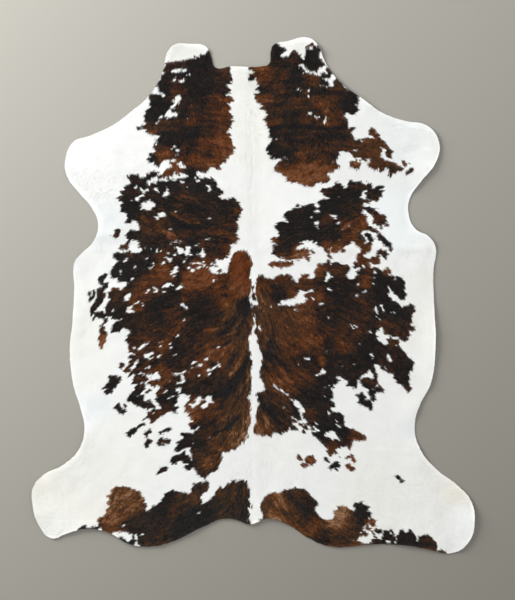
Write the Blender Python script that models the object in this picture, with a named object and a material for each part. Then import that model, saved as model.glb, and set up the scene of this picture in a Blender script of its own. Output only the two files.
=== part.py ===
"""A cowhide rug: one whole hide, trimmed along the outline of the animal, lying flat with its hair up.

The neck points to +Y and the tail to -Y. The flesh side rests on Z = 0, and the middle of the hide's
box is on the Z axis. Everything is in metres, apart from the outline table, which is in millimetres.
"""
import math

import bmesh
import bpy

# Driving dimensions of the hide.
HIDE_LENGTH = 2.300          # neck tabs to hind legs, along Y
HIDE_WIDTH = 1.970           # across the hind legs, along X
LEATHER_THICKNESS = 0.0025   # tanned skin, from its flesh side to its grain
HAIR_THICKNESS = 0.0035      # short hair as it lies on the skin
EDGE_THICKNESS = 0.0035      # skin and hair along the knife cut, where the coat lies lowest
EDGE_BAND = 0.008            # width of the slope from the cut edge up to the full coat

# How finely the smooth shapes are cut into flat facets.
OUTLINE_STEPS = 8            # straight pieces between two landmarks
COAT_CELL = 0.085            # largest cell of the coat's upper surface
WELD_DISTANCE = 0.0001

# The outline, from the neck down to the tail. Each row is a landmark with its two points, on the left and
# on the right of the spine: across from the middle of the hide, then along it, in millimetres.
OUTLINE_COLUMNS = ("landmark", "left_across", "left_along", "right_across", "right_along")
OUTLINE_MM = (
    ("nape", -100, 1020, 45, 1021),
    ("nape corner", -171, 1018, 72, 1031),
    ("neck tab inside", -187, 1065, 79, 1080),
    ("neck tab inner corner", -210, 1108, 92, 1117),
    ("neck tab end", -285, 1121, 155, 1134),
    ("neck tab far end", -350, 1117, 240, 1150),
    ("neck tab outer corner", -380, 1085, 282, 1123),
    ("neck", -402, 995, 322, 1038),
    ("throat", -465, 887, 391, 945),
    ("chest", -540, 822, 473, 886),
    ("foreleg root", -625, 758, 583, 810),
    ("foreleg top", -730, 710, 680, 777),
    ("foreleg shoulder", -800, 684, 776, 755),
    ("foreleg end", -835, 610, 829, 677),
    ("foreleg heel", -828, 530, 812, 590),
    ("foreleg underside", -776, 458, 748, 508),
    ("armpit top", -720, 391, 698, 430),
    ("armpit", -691, 320, 693, 367),
    ("armpit foot", -710, 242, 721, 298),
    ("elbow", -763, 187, 785, 259),
    ("brisket corner", -794, 148, 813, 215),
    ("brisket", -796, 30, 803, 113),
    ("ribs", -805, -128, 806, -45),
    ("belly", -816, -235, 812, -231),
    ("flank", -801, -397, 790, -396),
    ("flank foot", -768, -507, 741, -492),
    ("waist", -750, -594, 720, -576),
    ("waist foot", -771, -681, 737, -674),
    ("hind leg root", -841, -754, 813, -773),
    ("hind leg top", -932, -801, 913, -851),
    ("hind leg corner", -978, -855, 968, -913),
    ("hind leg end", -982, -926, 986, -1002),
    ("hind leg heel", -950, -1033, 962, -1098),
    ("hind leg underside", -901, -1083, 886, -1150),
    ("rump corner", -825, -1060, 779, -1132),
    ("rump hollow", -750, -1041, 677, -1115),
    ("rump", -638, -1060, 510, -1112),
    ("buttock corner", -563, -1104, 431, -1122),
    ("buttock", -474, -1121, 333, -1118),
    ("buttock inside", -361, -1099, 240, -1079),
    ("tail slope", -222, -1032, 150, -1020),
    ("tail hollow", -130, -997, 75, -995),
    ("tail root", -60, -1006, -23, -1021),
)

# The creases left where the hide was folded for shipping. Each row runs from a start to an end point, in
# metres, and its depth is how far the coat sinks there. A negative depth is a crease that stands up.
CREASE_COLUMNS = ("crease", "start_x", "start_y", "end_x", "end_y", "depth")
CREASES = (
    ("spine", -0.008, 0.960, -0.008, -0.960, 0.0012),
    ("neck", -0.380, 0.735, 0.480, 0.745, 0.0010),
    ("left foreleg", -0.800, 0.690, -0.420, 0.685, 0.0008),
    ("shoulders", -0.780, 0.050, 0.790, 0.040, 0.0010),
    ("flanks", -0.800, -0.290, 0.800, -0.290, -0.0008),
    ("waist", -0.740, -0.670, 0.720, -0.690, 0.0010),
    ("rump", -0.940, -0.998, 0.640, -1.006, 0.0008),
    ("left hind leg", -0.839, -0.760, -0.839, -1.030, 0.0008),
    ("right hind leg", 0.810, -0.800, 0.810, -1.110, -0.0008),
)
CREASE_HALF_WIDTH = 0.018
CREASE_FADE = 0.080          # length over which a crease runs out at its two ends
CREASE_SIDES = (-CREASE_HALF_WIDTH, 0.0, CREASE_HALF_WIDTH)


def rows(columns, table):
    """Read a table's rows by the names of its columns."""
    return [dict(zip(columns, row)) for row in table]


def clear_scene():
    for old in list(bpy.data.objects):
        bpy.data.objects.remove(old, do_unlink=True)


def outline_points():
    """The landmarks in order round the hide, as flat points in metres."""
    left = [(row["left_across"], row["left_along"]) for row in rows(OUTLINE_COLUMNS, OUTLINE_MM)]
    right = [(row["right_across"], row["right_along"]) for row in rows(OUTLINE_COLUMNS, OUTLINE_MM)]
    return [(across / 1000, along / 1000) for across, along in left + right[::-1]]


def outline_mesh():
    """A smooth closed curve through the landmarks, made a mesh of edges."""
    curve = bpy.data.curves.new("outline", "CURVE")
    curve.dimensions = "2D"
    curve.fill_mode = "NONE"
    spline = curve.splines.new("BEZIER")
    spline.resolution_u = OUTLINE_STEPS
    spline.use_cyclic_u = True
    points = outline_points()
    spline.bezier_points.add(len(points) - 1)
    for bezier_point, (x, y) in zip(spline.bezier_points, points):
        bezier_point.co = (x, y, 0.0)
        bezier_point.handle_left_type = "AUTO"
        bezier_point.handle_right_type = "AUTO"
    guide = bpy.data.objects.new("outline", curve)
    bpy.context.scene.collection.objects.link(guide)
    bpy.context.view_layer.update()
    mesh = bpy.data.meshes.new_from_object(guide.evaluated_get(bpy.context.evaluated_depsgraph_get()))
    bpy.data.objects.remove(guide)
    return mesh


def fit_to_box(bm):
    """Centre the outline on the origin and bring it to the hide's exact width and length."""
    low_x = min(vert.co.x for vert in bm.verts)
    high_x = max(vert.co.x for vert in bm.verts)
    low_y = min(vert.co.y for vert in bm.verts)
    high_y = max(vert.co.y for vert in bm.verts)
    middle = (-(low_x + high_x) / 2, -(low_y + high_y) / 2, 0.0)
    bmesh.ops.translate(bm, verts=bm.verts, vec=middle)
    stretch = (HIDE_WIDTH / (high_x - low_x), HIDE_LENGTH / (high_y - low_y), 1.0)
    bmesh.ops.scale(bm, verts=bm.verts, vec=stretch)


def cut(bm, faces, place, normal):
    """Cut the given faces along a plane, and return them with the pieces that the cut made."""
    geometry = dict.fromkeys(faces)
    for face in faces:
        geometry.update(dict.fromkeys(face.edges))
        geometry.update(dict.fromkeys(face.verts))
    result = bmesh.ops.bisect_plane(
        bm, geom=list(geometry), dist=WELD_DISTANCE, plane_co=place, plane_no=normal
    )
    return [item for item in result["geom"] if isinstance(item, bmesh.types.BMFace)]


def cut_cells(bm, faces):
    """Divide the coat's upper surface into cells, so that it can rise and sink."""
    across_count = math.ceil(HIDE_WIDTH / COAT_CELL)
    along_count = math.ceil(HIDE_LENGTH / COAT_CELL)
    for step in range(1, across_count):
        x = -HIDE_WIDTH / 2 + HIDE_WIDTH * step / across_count
        faces = cut(bm, faces, (x, 0.0, 0.0), (1.0, 0.0, 0.0))
    for step in range(1, along_count):
        y = -HIDE_LENGTH / 2 + HIDE_LENGTH * step / along_count
        faces = cut(bm, faces, (0.0, y, 0.0), (0.0, 1.0, 0.0))
    return faces


def crease_frame(crease):
    """The crease's start, its direction, its normal in the plane of the hide, and its length."""
    run_x = crease["end_x"] - crease["start_x"]
    run_y = crease["end_y"] - crease["start_y"]
    length = math.hypot(run_x, run_y)
    direction = (run_x / length, run_y / length)
    normal = (-direction[1], direction[0])
    return (crease["start_x"], crease["start_y"]), direction, normal, length


def near_crease(face, crease):
    """Whether any of a face's corners lies in the crease's own strip."""
    start, direction, normal, length = crease_frame(crease)
    for vert in face.verts:
        x = vert.co.x - start[0]
        y = vert.co.y - start[1]
        aside = abs(x * normal[0] + y * normal[1])
        along = x * direction[0] + y * direction[1]
        if aside < COAT_CELL and -COAT_CELL < along < length + COAT_CELL:
            return True
    return False


def cut_creases(bm, faces):
    """Give each crease a line of its own and one on each side of it."""
    for crease in rows(CREASE_COLUMNS, CREASES):
        start, _, normal, _ = crease_frame(crease)
        for side in CREASE_SIDES:
            near = [face for face in faces if near_crease(face, crease)]
            far = [face for face in faces if not near_crease(face, crease)]
            place = (start[0] + normal[0] * side, start[1] + normal[1] * side, 0.0)
            faces = far + cut(bm, near, place, (normal[0], normal[1], 0.0))
    return faces


def crease_depth(crease, x, y):
    """How far the coat sinks at a point because of one crease."""
    start, direction, normal, length = crease_frame(crease)
    aside = abs((x - start[0]) * normal[0] + (y - start[1]) * normal[1])
    along = (x - start[0]) * direction[0] + (y - start[1]) * direction[1]
    to_end = min(along, length - along)
    if aside >= CREASE_HALF_WIDTH or to_end <= 0.0:
        return 0.0
    return crease["depth"] * (1.0 - aside / CREASE_HALF_WIDTH) * min(to_end / CREASE_FADE, 1.0)


def hide_mesh():
    """The hide as one closed slab: a flat flesh side, a low cut edge, and a coat with its creases."""
    bm = bmesh.new()
    bm.from_mesh(outline_mesh())
    bmesh.ops.remove_doubles(bm, verts=bm.verts, dist=WELD_DISTANCE)
    fit_to_box(bm)
    flesh_side = bmesh.ops.contextual_create(bm, geom=bm.edges)["faces"][0]
    if flesh_side.normal.z > 0.0:
        flesh_side.normal_flip()

    extruded = bmesh.ops.extrude_face_region(bm, geom=[flesh_side], use_keep_orig=True)
    coat_verts = [item for item in extruded["geom"] if isinstance(item, bmesh.types.BMVert)]
    coat = [item for item in extruded["geom"] if isinstance(item, bmesh.types.BMFace)]
    bmesh.ops.translate(bm, verts=coat_verts, vec=(0.0, 0.0, EDGE_THICKNESS))
    bmesh.ops.recalc_face_normals(bm, faces=bm.faces)
    bmesh.ops.inset_region(bm, faces=coat, thickness=EDGE_BAND, use_even_offset=True)

    coat = cut_creases(bm, cut_cells(bm, coat))
    full_thickness = LEATHER_THICKNESS + HAIR_THICKNESS
    rim = {vert for face in bm.faces if abs(face.normal.z) < 0.5 for vert in face.verts}
    creases = rows(CREASE_COLUMNS, CREASES)
    for vert in {vert for face in coat for vert in face.verts} - rim:
        sunk = sum(crease_depth(crease, vert.co.x, vert.co.y) for crease in creases)
        vert.co.z = full_thickness - sunk

    bmesh.ops.triangulate(bm, faces=bm.faces)
    bmesh.ops.recalc_face_normals(bm, faces=bm.faces)
    mesh = bpy.data.meshes.new("hide")
    bm.to_mesh(mesh)
    bm.free()
    return mesh


def cowhide_material():
    """Hair-on hide: short, dry, slightly glossy hair, mostly the warm white of its ground."""
    material = bpy.data.materials.new("cowhide")
    material.use_nodes = True
    shader = material.node_tree.nodes["Principled BSDF"]
    shader.inputs["Base Color"].default_value = (0.76, 0.75, 0.72, 1.0)
    shader.inputs["Roughness"].default_value = 0.7
    shader.inputs["Metallic"].default_value = 0.0
    return material


def make_hide():
    hide = bpy.data.objects.new("hide", hide_mesh())
    hide.data.materials.append(cowhide_material())
    bpy.context.scene.collection.objects.link(hide)


clear_scene()
make_hide()
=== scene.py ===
import bmesh
import bpy
import numpy as np
from mathutils import Matrix, Vector


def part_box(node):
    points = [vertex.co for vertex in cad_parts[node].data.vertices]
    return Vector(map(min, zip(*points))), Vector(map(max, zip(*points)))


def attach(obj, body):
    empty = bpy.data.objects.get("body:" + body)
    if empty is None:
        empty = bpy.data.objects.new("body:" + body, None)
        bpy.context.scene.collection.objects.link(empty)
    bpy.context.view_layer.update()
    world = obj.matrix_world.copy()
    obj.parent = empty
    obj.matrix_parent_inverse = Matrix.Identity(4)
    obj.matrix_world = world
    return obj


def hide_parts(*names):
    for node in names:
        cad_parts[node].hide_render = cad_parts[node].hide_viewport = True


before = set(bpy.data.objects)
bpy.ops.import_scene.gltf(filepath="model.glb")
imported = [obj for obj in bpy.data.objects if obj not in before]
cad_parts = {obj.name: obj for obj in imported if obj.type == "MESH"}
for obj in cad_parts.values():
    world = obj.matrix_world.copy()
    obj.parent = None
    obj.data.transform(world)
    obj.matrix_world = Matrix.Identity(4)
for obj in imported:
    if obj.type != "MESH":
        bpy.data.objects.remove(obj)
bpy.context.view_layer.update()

# ----------------------------------------------------------
# The skin. One whole cow skin, tanned soft with its hair on and trimmed with a knife along the
# animal's outline. It lies loose on the floor, and keeps the creases that it was once folded at
# and a rim that lifts a little where the leather has dried.
# ----------------------------------------------------------
HIDE_LOW, HIDE_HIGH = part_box("hide")
PHOTO_HIDE_LENGTH = 515.9  # pixels of the photo from the neck's end to the hind legs' ends
PHOTO_MIDDLE_X = 253.2  # the pixel over the middle of the hide
PHOTO_MIDDLE_Y = 295.25
PHOTO_SPINE_X = 251.5  # the pixel column of the spine
PHOTO_WIDTH = 515
PHOTO_HEIGHT = 600
PIXEL = (HIDE_HIGH.y - HIDE_LOW.y) / PHOTO_HIDE_LENGTH


def photo_place(x, y):
    """The photo's pixel over a place on the hide, given in metres."""
    return PHOTO_MIDDLE_X + x / PIXEL, PHOTO_MIDDLE_Y - y / PIXEL


# The skin's markings, which the hair on it shares. Pigment grows in patches on a cow's white coat:
# black, brindle brown and rust. These tables hold what was read off, at the photo's pixels.
PATCHES = (
    # region, then dark outlines of (x, y) corners, dark runs of (x, y, reach) points, white outlines and
    # white runs in the same way
    ("left neck",
     (((165.6, 63.1), (170, 62.8), (174.4, 61.3), (180, 61), (183.8, 61.5), (186.9, 60), (195, 59.4),
     (198.1, 57.5), (200, 56.9), (198.5, 54.8), (203.8, 55), (206.3, 52.5), (209.8, 50.3), (214, 48),
     (218, 60), (217, 66), (229.5, 66), (230, 70.6), (231.9, 75), (228.8, 78.1), (231.9, 79.4), (230.6, 82.5),
     (226.9, 83.8), (228.1, 86.9), (230, 89.4), (230, 91.3), (226.9, 93.8), (226.3, 95.6), (230.6, 97.5),
     (233.1, 100.6), (228.1, 103.8), (230, 106.3), (229.8, 108.8), (227.5, 110.6), (230, 113.8), (231, 116.3),
     (230.6, 120), (232.9, 121.9), (231.3, 124), (230, 127.5), (227.3, 128.8), (226.9, 132.5), (230, 135),
     (229.4, 137.5), (230.3, 140), (232.8, 142.5), (232.5, 145.6), (234.6, 148.5), (231.9, 151.3),
     (231.9, 153.8), (227.5, 157.5), (225, 161.9), (220.6, 164.4), (218.1, 166.5), (222.5, 168.1),
     (218.8, 170), (216.3, 168.8), (213.8, 166.5), (211.9, 167.5), (208.8, 166.9), (208.8, 169.4),
     (206.3, 171.9), (202.5, 172.5), (199.4, 170.6), (195.6, 171.9), (196.3, 173.8), (194.4, 175.6),
     (195, 180), (185, 180), (188.1, 176.3), (186.3, 174.4), (183.8, 172.8), (180, 172.5), (178.8, 175),
     (177.5, 172.5), (173.1, 172.5), (172.5, 176.3), (168.8, 175.6), (165, 177.5), (161.9, 176.9),
     (163.1, 173.8), (163.8, 171.3), (168.1, 170), (170.6, 167.8), (173.8, 166.5), (173.1, 165), (170, 163.1),
     (169.4, 161.5), (174.4, 162.5), (176.9, 161.9), (174.8, 158.8), (175.6, 156.9), (173.8, 156.3),
     (171.3, 158.1), (166.9, 160.6), (160.6, 160.6), (160, 163.8), (158.1, 166.5), (155, 164.4),
     (156.3, 162.5), (155.6, 160), (153.8, 159.4), (153.1, 161.9), (149.4, 162.3), (148.1, 160),
     (150.6, 156.9), (149.1, 154.4), (150.6, 153.1), (153.8, 154.4), (155.6, 153.8), (153.5, 151.3),
     (155, 150), (152.5, 147.5), (155.9, 144.4), (156.3, 142.5), (157.5, 138.8), (159.4, 136.9),
     (158.8, 135.3), (152.5, 134), (150.6, 131.9), (147.5, 130.6), (145, 128.1), (138, 128.4), (138, 126.6),
     (146.3, 125), (147.5, 123.1), (145, 121.3), (146.9, 118.1), (145.6, 115), (146.3, 111.3), (150.6, 108.1),
     (149.4, 105), (150.6, 100), (149.4, 96.3), (150.6, 93.8), (152.5, 94.4), (160, 94.4), (161.9, 96.3),
     (165.6, 95), (165, 93.8), (162.5, 93.8), (159.4, 91.3), (159.8, 86.9), (156.9, 85.6), (158.8, 82.5),
     (162.5, 79.4), (161.3, 77.5), (163, 75), (163.8, 68.8)),),
     (((160, 178, 1.6),), ((168.5, 177.5, 1.6),), ((153.2, 89.5, .6),), ((138.5, 127.7, 1.2),
     (147, 127, 1.5)), ((147, 130.8, 1.2), (157, 135, 1.2)), ((154.5, 146, 1.2), (156, 141, 1.2)),
     ((196, 176.5, 1), (199, 179.5, 1))),
     (((177, 95.8), (180, 95), (181, 97), (182, 98.2), (180.6, 99.8), (179.8, 102.5), (177.3, 104.3),
     (176.5, 106.3), (174, 107.6), (171.8, 108.6), (171.5, 106.3), (173.2, 102.6), (174.5, 100.8),
     (171, 100.6), (174, 99.4), (175.5, 97)), ((166, 111), (170, 110), (172, 112), (175.8, 112.2),
     (177.2, 114), (177.5, 115.4), (175.6, 116.6), (172, 117), (170, 118.8), (168.3, 119), (166.5, 117.6),
     (162, 117), (160, 121.2), (157, 124), (156, 123), (158.2, 119.5), (159.3, 116), (161.5, 115.8),
     (164, 115.8))),
     (((171.5, 71.8, .8), (176, 71.4, 1.5), (181, 69.9, 1.7), (187, 69.7, .7)), ((185.1, 77.6, .6),
     (186.3, 75.2, .8), (188.6, 74.4, .4)), ((174, 79.6, .5), (175.6, 77.8, .4)), ((178.8, 80.6, .6),
     (181.3, 81.3, 1.1), (183.8, 80.6, .9), (186.3, 82.3, .6)), ((171.3, 148.8, .9), (174.4, 146.6, 1.4),
     (175.6, 148.8, 1.1), (177.5, 151.3, 1.1), (179, 150.2, .5)), ((177.5, 151.3, 1.1), (177, 154.4, 1.1),
     (174, 157.8, 1.2)), ((185.7, 120, .4), (188, 118.8, .6)), ((176.5, 164, 1), (181, 164.2, 2.1),
     (184.5, 166.4, 1.2)))),
    ("left shoulder lumps",
     (((128, 176.5), (131, 174.5), (134, 173.7), (137, 174), (138, 176.5), (140, 178.3), (146.5, 178.5),
     (147, 176), (148, 173.5), (154, 171.2), (159, 172.8), (158, 174.3), (150.5, 178), (150.3, 180),
     (146.5, 182.2), (148, 184.5), (147.7, 187.5), (146, 189.5), (143.5, 189.5), (141.5, 186.5), (136.5, 186),
     (135, 188), (138, 188), (141.7, 192), (141, 194), (135, 196.5), (134, 199), (127, 202), (124, 202.8),
     (119, 199.5), (118.3, 197.5), (120, 195.5), (125, 196), (123, 194), (122, 191.2), (125, 190.5),
     (124.3, 187.5), (130, 185), (131, 183), (129.5, 180.5)),),
     (((118.5, 230.5, 1.8), (115.5, 235.5, 2.2)),),
     (),
     ()),
    ("left shoulder and flank",
     (((153, 183), (156.5, 183), (157, 180.7), (161, 180.7), (165, 181.2), (166, 182.7), (170, 180),
     (184, 178.5), (203, 178.5), (207, 177), (210, 178), (211, 176), (213, 178), (216, 184.5), (217.6, 188),
     (222, 191.4), (220.4, 193), (219, 195), (218.5, 198), (221, 199.5), (228, 200), (232, 199.2),
     (237.3, 202), (239.3, 205), (242.3, 209.5), (241, 213), (239, 217), (236, 220), (238, 225), (238, 230),
     (236, 235), (238, 239.5), (235, 242), (231, 244), (230, 249), (229, 253), (226, 256), (222, 258.5),
     (216, 258.5), (213, 261), (210, 264.5), (208, 267), (210, 271), (214, 273.5), (221, 274.5), (226, 273),
     (229.5, 269.5), (228.3, 265.5), (229.5, 262), (234, 254), (238, 251.5), (243, 251), (247, 253),
     (250, 259), (251, 264), (249.7, 272), (250.8, 284), (250.5, 289), (248.8, 294), (248.3, 300),
     (251.5, 304), (253.5, 309), (253.5, 312), (253, 328), (249, 335), (247, 338), (248, 343), (250, 352),
     (251, 360), (251, 380), (250, 392), (247.5, 397), (249, 402), (250.5, 415), (249, 428), (248, 435),
     (245, 439.5), (239.2, 445), (235.4, 448), (229.5, 450), (221, 451), (222, 457), (219, 464),
     (217.3, 468.8), (210.4, 472.3), (206.5, 475.8), (205, 478), (202, 477), (197, 472), (194.6, 469.2),
     (193.5, 467), (189.6, 469.2), (186.5, 469), (185, 466.5), (187, 463.5), (183, 461.5), (181, 459),
     (183, 456), (187, 454), (190, 457), (192, 461), (193, 458), (191, 453), (190, 447), (192, 444),
     (196, 441.5), (188.5, 446), (187, 447), (180, 451), (176, 451), (176, 447), (179, 444.5), (177.5, 443),
     (181, 440), (186, 437.5), (181, 434.5), (181.5, 432.5), (189, 434.5), (192, 433.6), (198.5, 429.4),
     (191.5, 428), (189.5, 424), (192, 421), (189, 413.5), (185, 411.6), (186, 409), (183.4, 406.6),
     (187, 402.8), (190.5, 400), (190, 396), (185.3, 395.8), (181, 392.8), (182.5, 388), (179, 386.6),
     (173, 388.5), (172, 389.7), (175.7, 390.8), (179, 393), (177.2, 395.8), (178.8, 396.6), (175.7, 398.2),
     (175, 400.5), (177.2, 402), (175, 405), (177.6, 408.2), (175, 409.3), (175.7, 412.8), (171.8, 410.5),
     (169.5, 411.2), (164, 413.5), (156.5, 418.5), (151, 422.8), (151.8, 419), (149.5, 417.4), (146.5, 419),
     (141.8, 420.5), (146, 415.8), (148.8, 410.8), (155.7, 409), (159.5, 409.7), (164, 409), (165.7, 405.8),
     (161.8, 406.6), (156.5, 401.2), (156.5, 398), (158, 395), (156, 392.8), (161, 389), (165, 386.2),
     (158.8, 385), (155, 386.2), (151, 385), (148.8, 381.2), (151, 380.5), (150.3, 378), (153, 380),
     (160, 378.5), (161, 375.8), (159.5, 374.3), (158, 370.5), (155, 370), (152.6, 372.8), (144.9, 373.2),
     (140.3, 370.5), (137, 373.5), (133.4, 372), (128, 375.8), (131, 373.5), (125, 372.4), (122.6, 370.5),
     (125, 369), (130.3, 363.5), (129.5, 362), (131.8, 359), (129, 357), (134, 353.5), (129, 351), (129, 345),
     (125, 339), (128, 336), (131, 334), (130, 331), (126, 327.8), (123, 327.3), (119, 332), (114.5, 332),
     (111.5, 331), (114, 324), (121, 318.5), (113, 318.5), (111, 316), (116, 308), (109, 311), (106, 310),
     (105.5, 307), (111, 300), (109, 298), (109, 293), (113, 289.5), (117, 288.5), (122, 291), (123, 288.5),
     (129, 283), (126, 281.5), (119, 281), (118, 278), (115, 276.5), (113, 278), (110, 273), (112, 270),
     (113, 267), (118, 261), (114, 257), (115, 254), (119, 253.2), (131, 252.4), (137, 252.5), (139, 254),
     (144, 250), (139, 247), (139.5, 243), (138, 240), (134, 238.7), (130, 239.5), (127.5, 238), (127, 235),
     (130, 230.5), (137, 231), (139, 229), (139.5, 222), (135, 218.7), (132, 219.5), (129.5, 223),
     (127.5, 222.5), (128, 215), (126.5, 212), (121, 211.5), (120.8, 207), (122, 204.5), (135, 200),
     (140, 202), (139, 199.5), (145, 195.5), (149, 190.5), (149, 188)), ((133.4, 379), (136, 375),
     (143.4, 375.8), (149.5, 379.7), (142, 381.6), (139.5, 383.5), (133.8, 383.5)), ((135.7, 386.6),
     (138.8, 385.5), (145.3, 384.3), (145.3, 387.4), (138.8, 394.3), (133.4, 392.4)), ((129.5, 395.8),
     (131.8, 394.7), (136.5, 396.2), (144.9, 393.5), (142.6, 399.7), (145, 402), (151, 400.8), (155, 405),
     (155.7, 407.4), (153.4, 409), (150.3, 407.4), (147.2, 409), (142.6, 406.6), (136.5, 405), (131, 402.8),
     (128.8, 399.7)), ((111, 376), (115, 376), (121, 377), (119, 382.5), (115, 384), (116, 387), (110, 388.5),
     (103, 388), (107, 384)), ((117, 403), (120, 404.5), (120, 407), (125, 409), (126, 411.5), (122, 413),
     (118, 412), (115, 407)), ((143, 422), (144.5, 424), (138, 427), (136, 431), (130, 436.5), (127.5, 434),
     (133, 428), (138, 425)), ((107, 284), (108, 286), (103, 290), (103, 293), (105, 294), (103, 299),
     (93, 312), (92, 316), (90, 310), (98, 297), (98, 290)), ((95, 312), (103, 312), (107, 316), (104, 318.5),
     (96, 316.5), (92, 321)), ((108, 318), (104, 325), (106, 333), (106, 340), (101, 347), (99.5, 339),
     (100, 331), (101, 326))),
     (((121.8, 364.7, 2), (120.3, 367, 1)), ((146, 392, .8), (150, 390.5, 1.2)), ((105, 392, 1.5),
     (111, 391.5, 1.2)), ((125, 406, 1.1),), ((149.5, 430.5, 2), (146, 435, 1.3)), ((149, 440.5, 1.8),
     (146.5, 444.5, 1.8)), ((161, 440.5, 2.3), (168, 441, 1.7)), ((159, 443.5, 1), (164, 445, .8)),
     ((170, 429, 1.6), (165, 431, 1.5), (161, 432.5, 1)), ((184, 453, 1.8), (178, 456.5, 2), (174, 461, 3.2)),
     ((165, 468, 1.6), (159, 472, 1)), ((253, 287, .8), (253.5, 299, 1)), ((101, 279, 2.2),
     (104.5, 275.5, 1.6)), ((90, 293.5, 1), (90, 300, 1.2)), ((94, 291, .8), (93, 296, .7)),
     ((217, 266, .6),), ((217, 271.5, .7), (220.5, 270, 1.1)), ((211, 264.5, 1.2), (214, 263.5, 1.2)),
     ((226.3, 256.5, 1),), ((100, 315, 2), (110, 314, 2.2)), ((101, 281, 1.5), (103, 284, 1.2)),
     ((142, 391, 1), (145, 388.5, .8)), ((120.5, 248.5, .8), (125, 246.5, 2.5), (128, 242.5, 1.4)),
     ((151.5, 378.5, .7),), ((173.7, 411, .8), (174.5, 412, .6))),
     (((141, 202.5), (146, 202), (149.5, 200), (150.3, 198), (151.3, 201), (156, 204.8), (153.5, 206.7),
     (150, 211), (145, 209), (142, 210), (140.3, 209.3), (142, 207.5), (141.5, 204.5)), ((161.5, 196),
     (164, 193.5), (166.5, 191), (167, 189), (169, 189.5), (168.7, 194.5), (167, 197), (163, 197)),
     ((153.7, 215.5), (157, 215.5), (159, 213), (164, 210.8), (165.7, 211), (165.3, 215.3), (163, 216),
     (162, 218), (157, 219.2), (154.5, 217.5)), ((206, 185), (209.5, 185), (210.5, 187.5), (212, 189.5),
     (211, 191), (208.5, 191), (208.5, 188)), ((175.5, 248), (180, 246.8), (185, 249), (188, 246),
     (190, 247.5), (190, 253), (187, 254.3), (184, 253.3), (180, 254.3), (178.5, 256), (178, 252)),
     ((196, 253), (200, 252.5), (201, 250), (203, 248.5), (204.3, 251), (205.3, 254.5), (204.5, 257.3),
     (201.5, 257.5), (200.5, 255), (196, 254.3)), ((170, 273), (172, 270), (174, 267.3), (177, 266.3),
     (178.7, 267.3), (177, 270), (178, 272.3), (175.5, 274.7), (170, 275)), ((163, 284.3), (169, 282.3),
     (168.5, 287), (166, 288.6), (162.8, 287.5)), ((140.5, 356), (145, 354), (152, 351.8), (153.7, 353),
     (151, 355.7), (150, 357.2), (147, 358.7), (144, 356.7)), ((186, 406.5), (191, 402), (194.5, 400),
     (195, 398.5), (200, 397), (204, 399), (206.5, 396.8), (209, 395), (211.7, 396.8), (212.7, 400.3),
     (216.5, 402.5), (215.5, 404.7), (211.5, 402.7), (208.5, 403.2), (207.5, 405.7), (202, 408.5),
     (200.3, 406.5), (203, 403.3), (205, 401), (201.7, 401), (198.7, 404.2), (194, 406.8), (189, 407.6))),
     (((155, 187, .8), (157, 190.3, 1), (158.7, 191.5, 1.2)), ((166.5, 187.5, .8),), ((210, 180.5, .3),
     (210, 184, .4)), ((182, 182, .9), (184, 182, .6)), ((187.5, 187.5, .8),), ((197, 180, .8),
     (199, 180, .6)), ((171.5, 189, .8), (173, 188.5, .5)), ((210, 193.5, .3),), ((216.5, 201.5, .6),
     (218, 201.5, .5)), ((175.5, 211, .7), (177.5, 210.7, .5)), ((209.3, 218.3, .7), (211, 218.7, .6)),
     ((161, 232.5, .6), (163, 232.3, .4)), ((207, 238.5, .4), (209, 238, .3)), ((170, 229.5, .4),),
     ((188, 218.5, .6),), ((160, 228.5, .5),), ((175, 241.3, .5), (177.5, 241.3, .7)), ((180, 241.5, .9),
     (182, 241, .8)), ((163.5, 244.5, .8), (166, 243, .8)), ((168, 242.5, .7), (171, 243, .7)),
     ((197, 243.5, .4), (198.5, 243.5, .4)), ((145, 247.5, .7), (146, 247.5, .5)), ((152, 250, .7),),
     ((157, 251, .5),), ((161, 251, .9),), ((133, 258, .9), (134, 257, .7)), ((146, 258, .4),
     (147, 257.5, .4)), ((153.5, 263.5, .7), (151.5, 263, .5)), ((134.5, 266, 1),), ((135, 270.5, .8),),
     ((149.5, 268.5, .8), (150.5, 268, .6)), ((120.5, 271, .4), (121, 274, .4)), ((132, 279, 1),
     (131, 280, .8)), ((124, 261, 1.2), (127, 258.5, 1)), ((164, 292, .9),), ((189, 254, 1),
     (191.5, 255, .9)), ((184, 263, .9), (184.5, 260.5, 1.3), (187, 257.5, .8), (190, 255, .7)),
     ((166, 256, 1.1), (169.5, 259.7, 1.2), (172, 258, .8), (175.5, 255.5, .6)), ((165.5, 252, .6),
     (168, 252.5, .5)), ((161, 264.3, 1), (163.7, 262.5, 1.5)), ((191.5, 270, .8), (193.5, 270.3, .7)),
     ((197, 269, .5), (199, 267, 1.2), (202, 266, .8)), ((190, 263, .5), (195, 263.3, .7), (199, 262.9, .7)),
     ((200, 263.5, .8), (205, 264.8, .5), (208, 266.5, .9)), ((188, 266, .4), (189.5, 269, .4)),
     ((202, 259, 1), (204, 261, 1)), ((188, 274.5, .7), (190, 275.5, .8)), ((213, 280.5, .8), (217, 279, .9)),
     ((170, 284.2, .6), (174.5, 285.7, .6)), ((176, 288.5, .9), (180, 286.5, 1.4), (181.5, 284, 1.5)),
     ((179.5, 280.7, .8), (181, 282.7, 1)), ((180, 286, 1.5), (184, 286.7, .9)), ((146.5, 292.5, 1),
     (148.7, 290.8, 1.1)), ((152.5, 291.2, 1.1), (156.3, 290.3, 1.5)), ((153.5, 287.5, .6), (156, 288.7, .7)),
     ((126, 298, 2.2), (129, 296, 2)), ((135, 303, .9), (138, 302, .7)), ((142, 303.5, .9),
     (142.5, 305.5, .9)), ((129, 311, 2.4), (134, 312, 1.2)), ((129, 308, 1.5), (131, 306.5, 1)),
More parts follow.
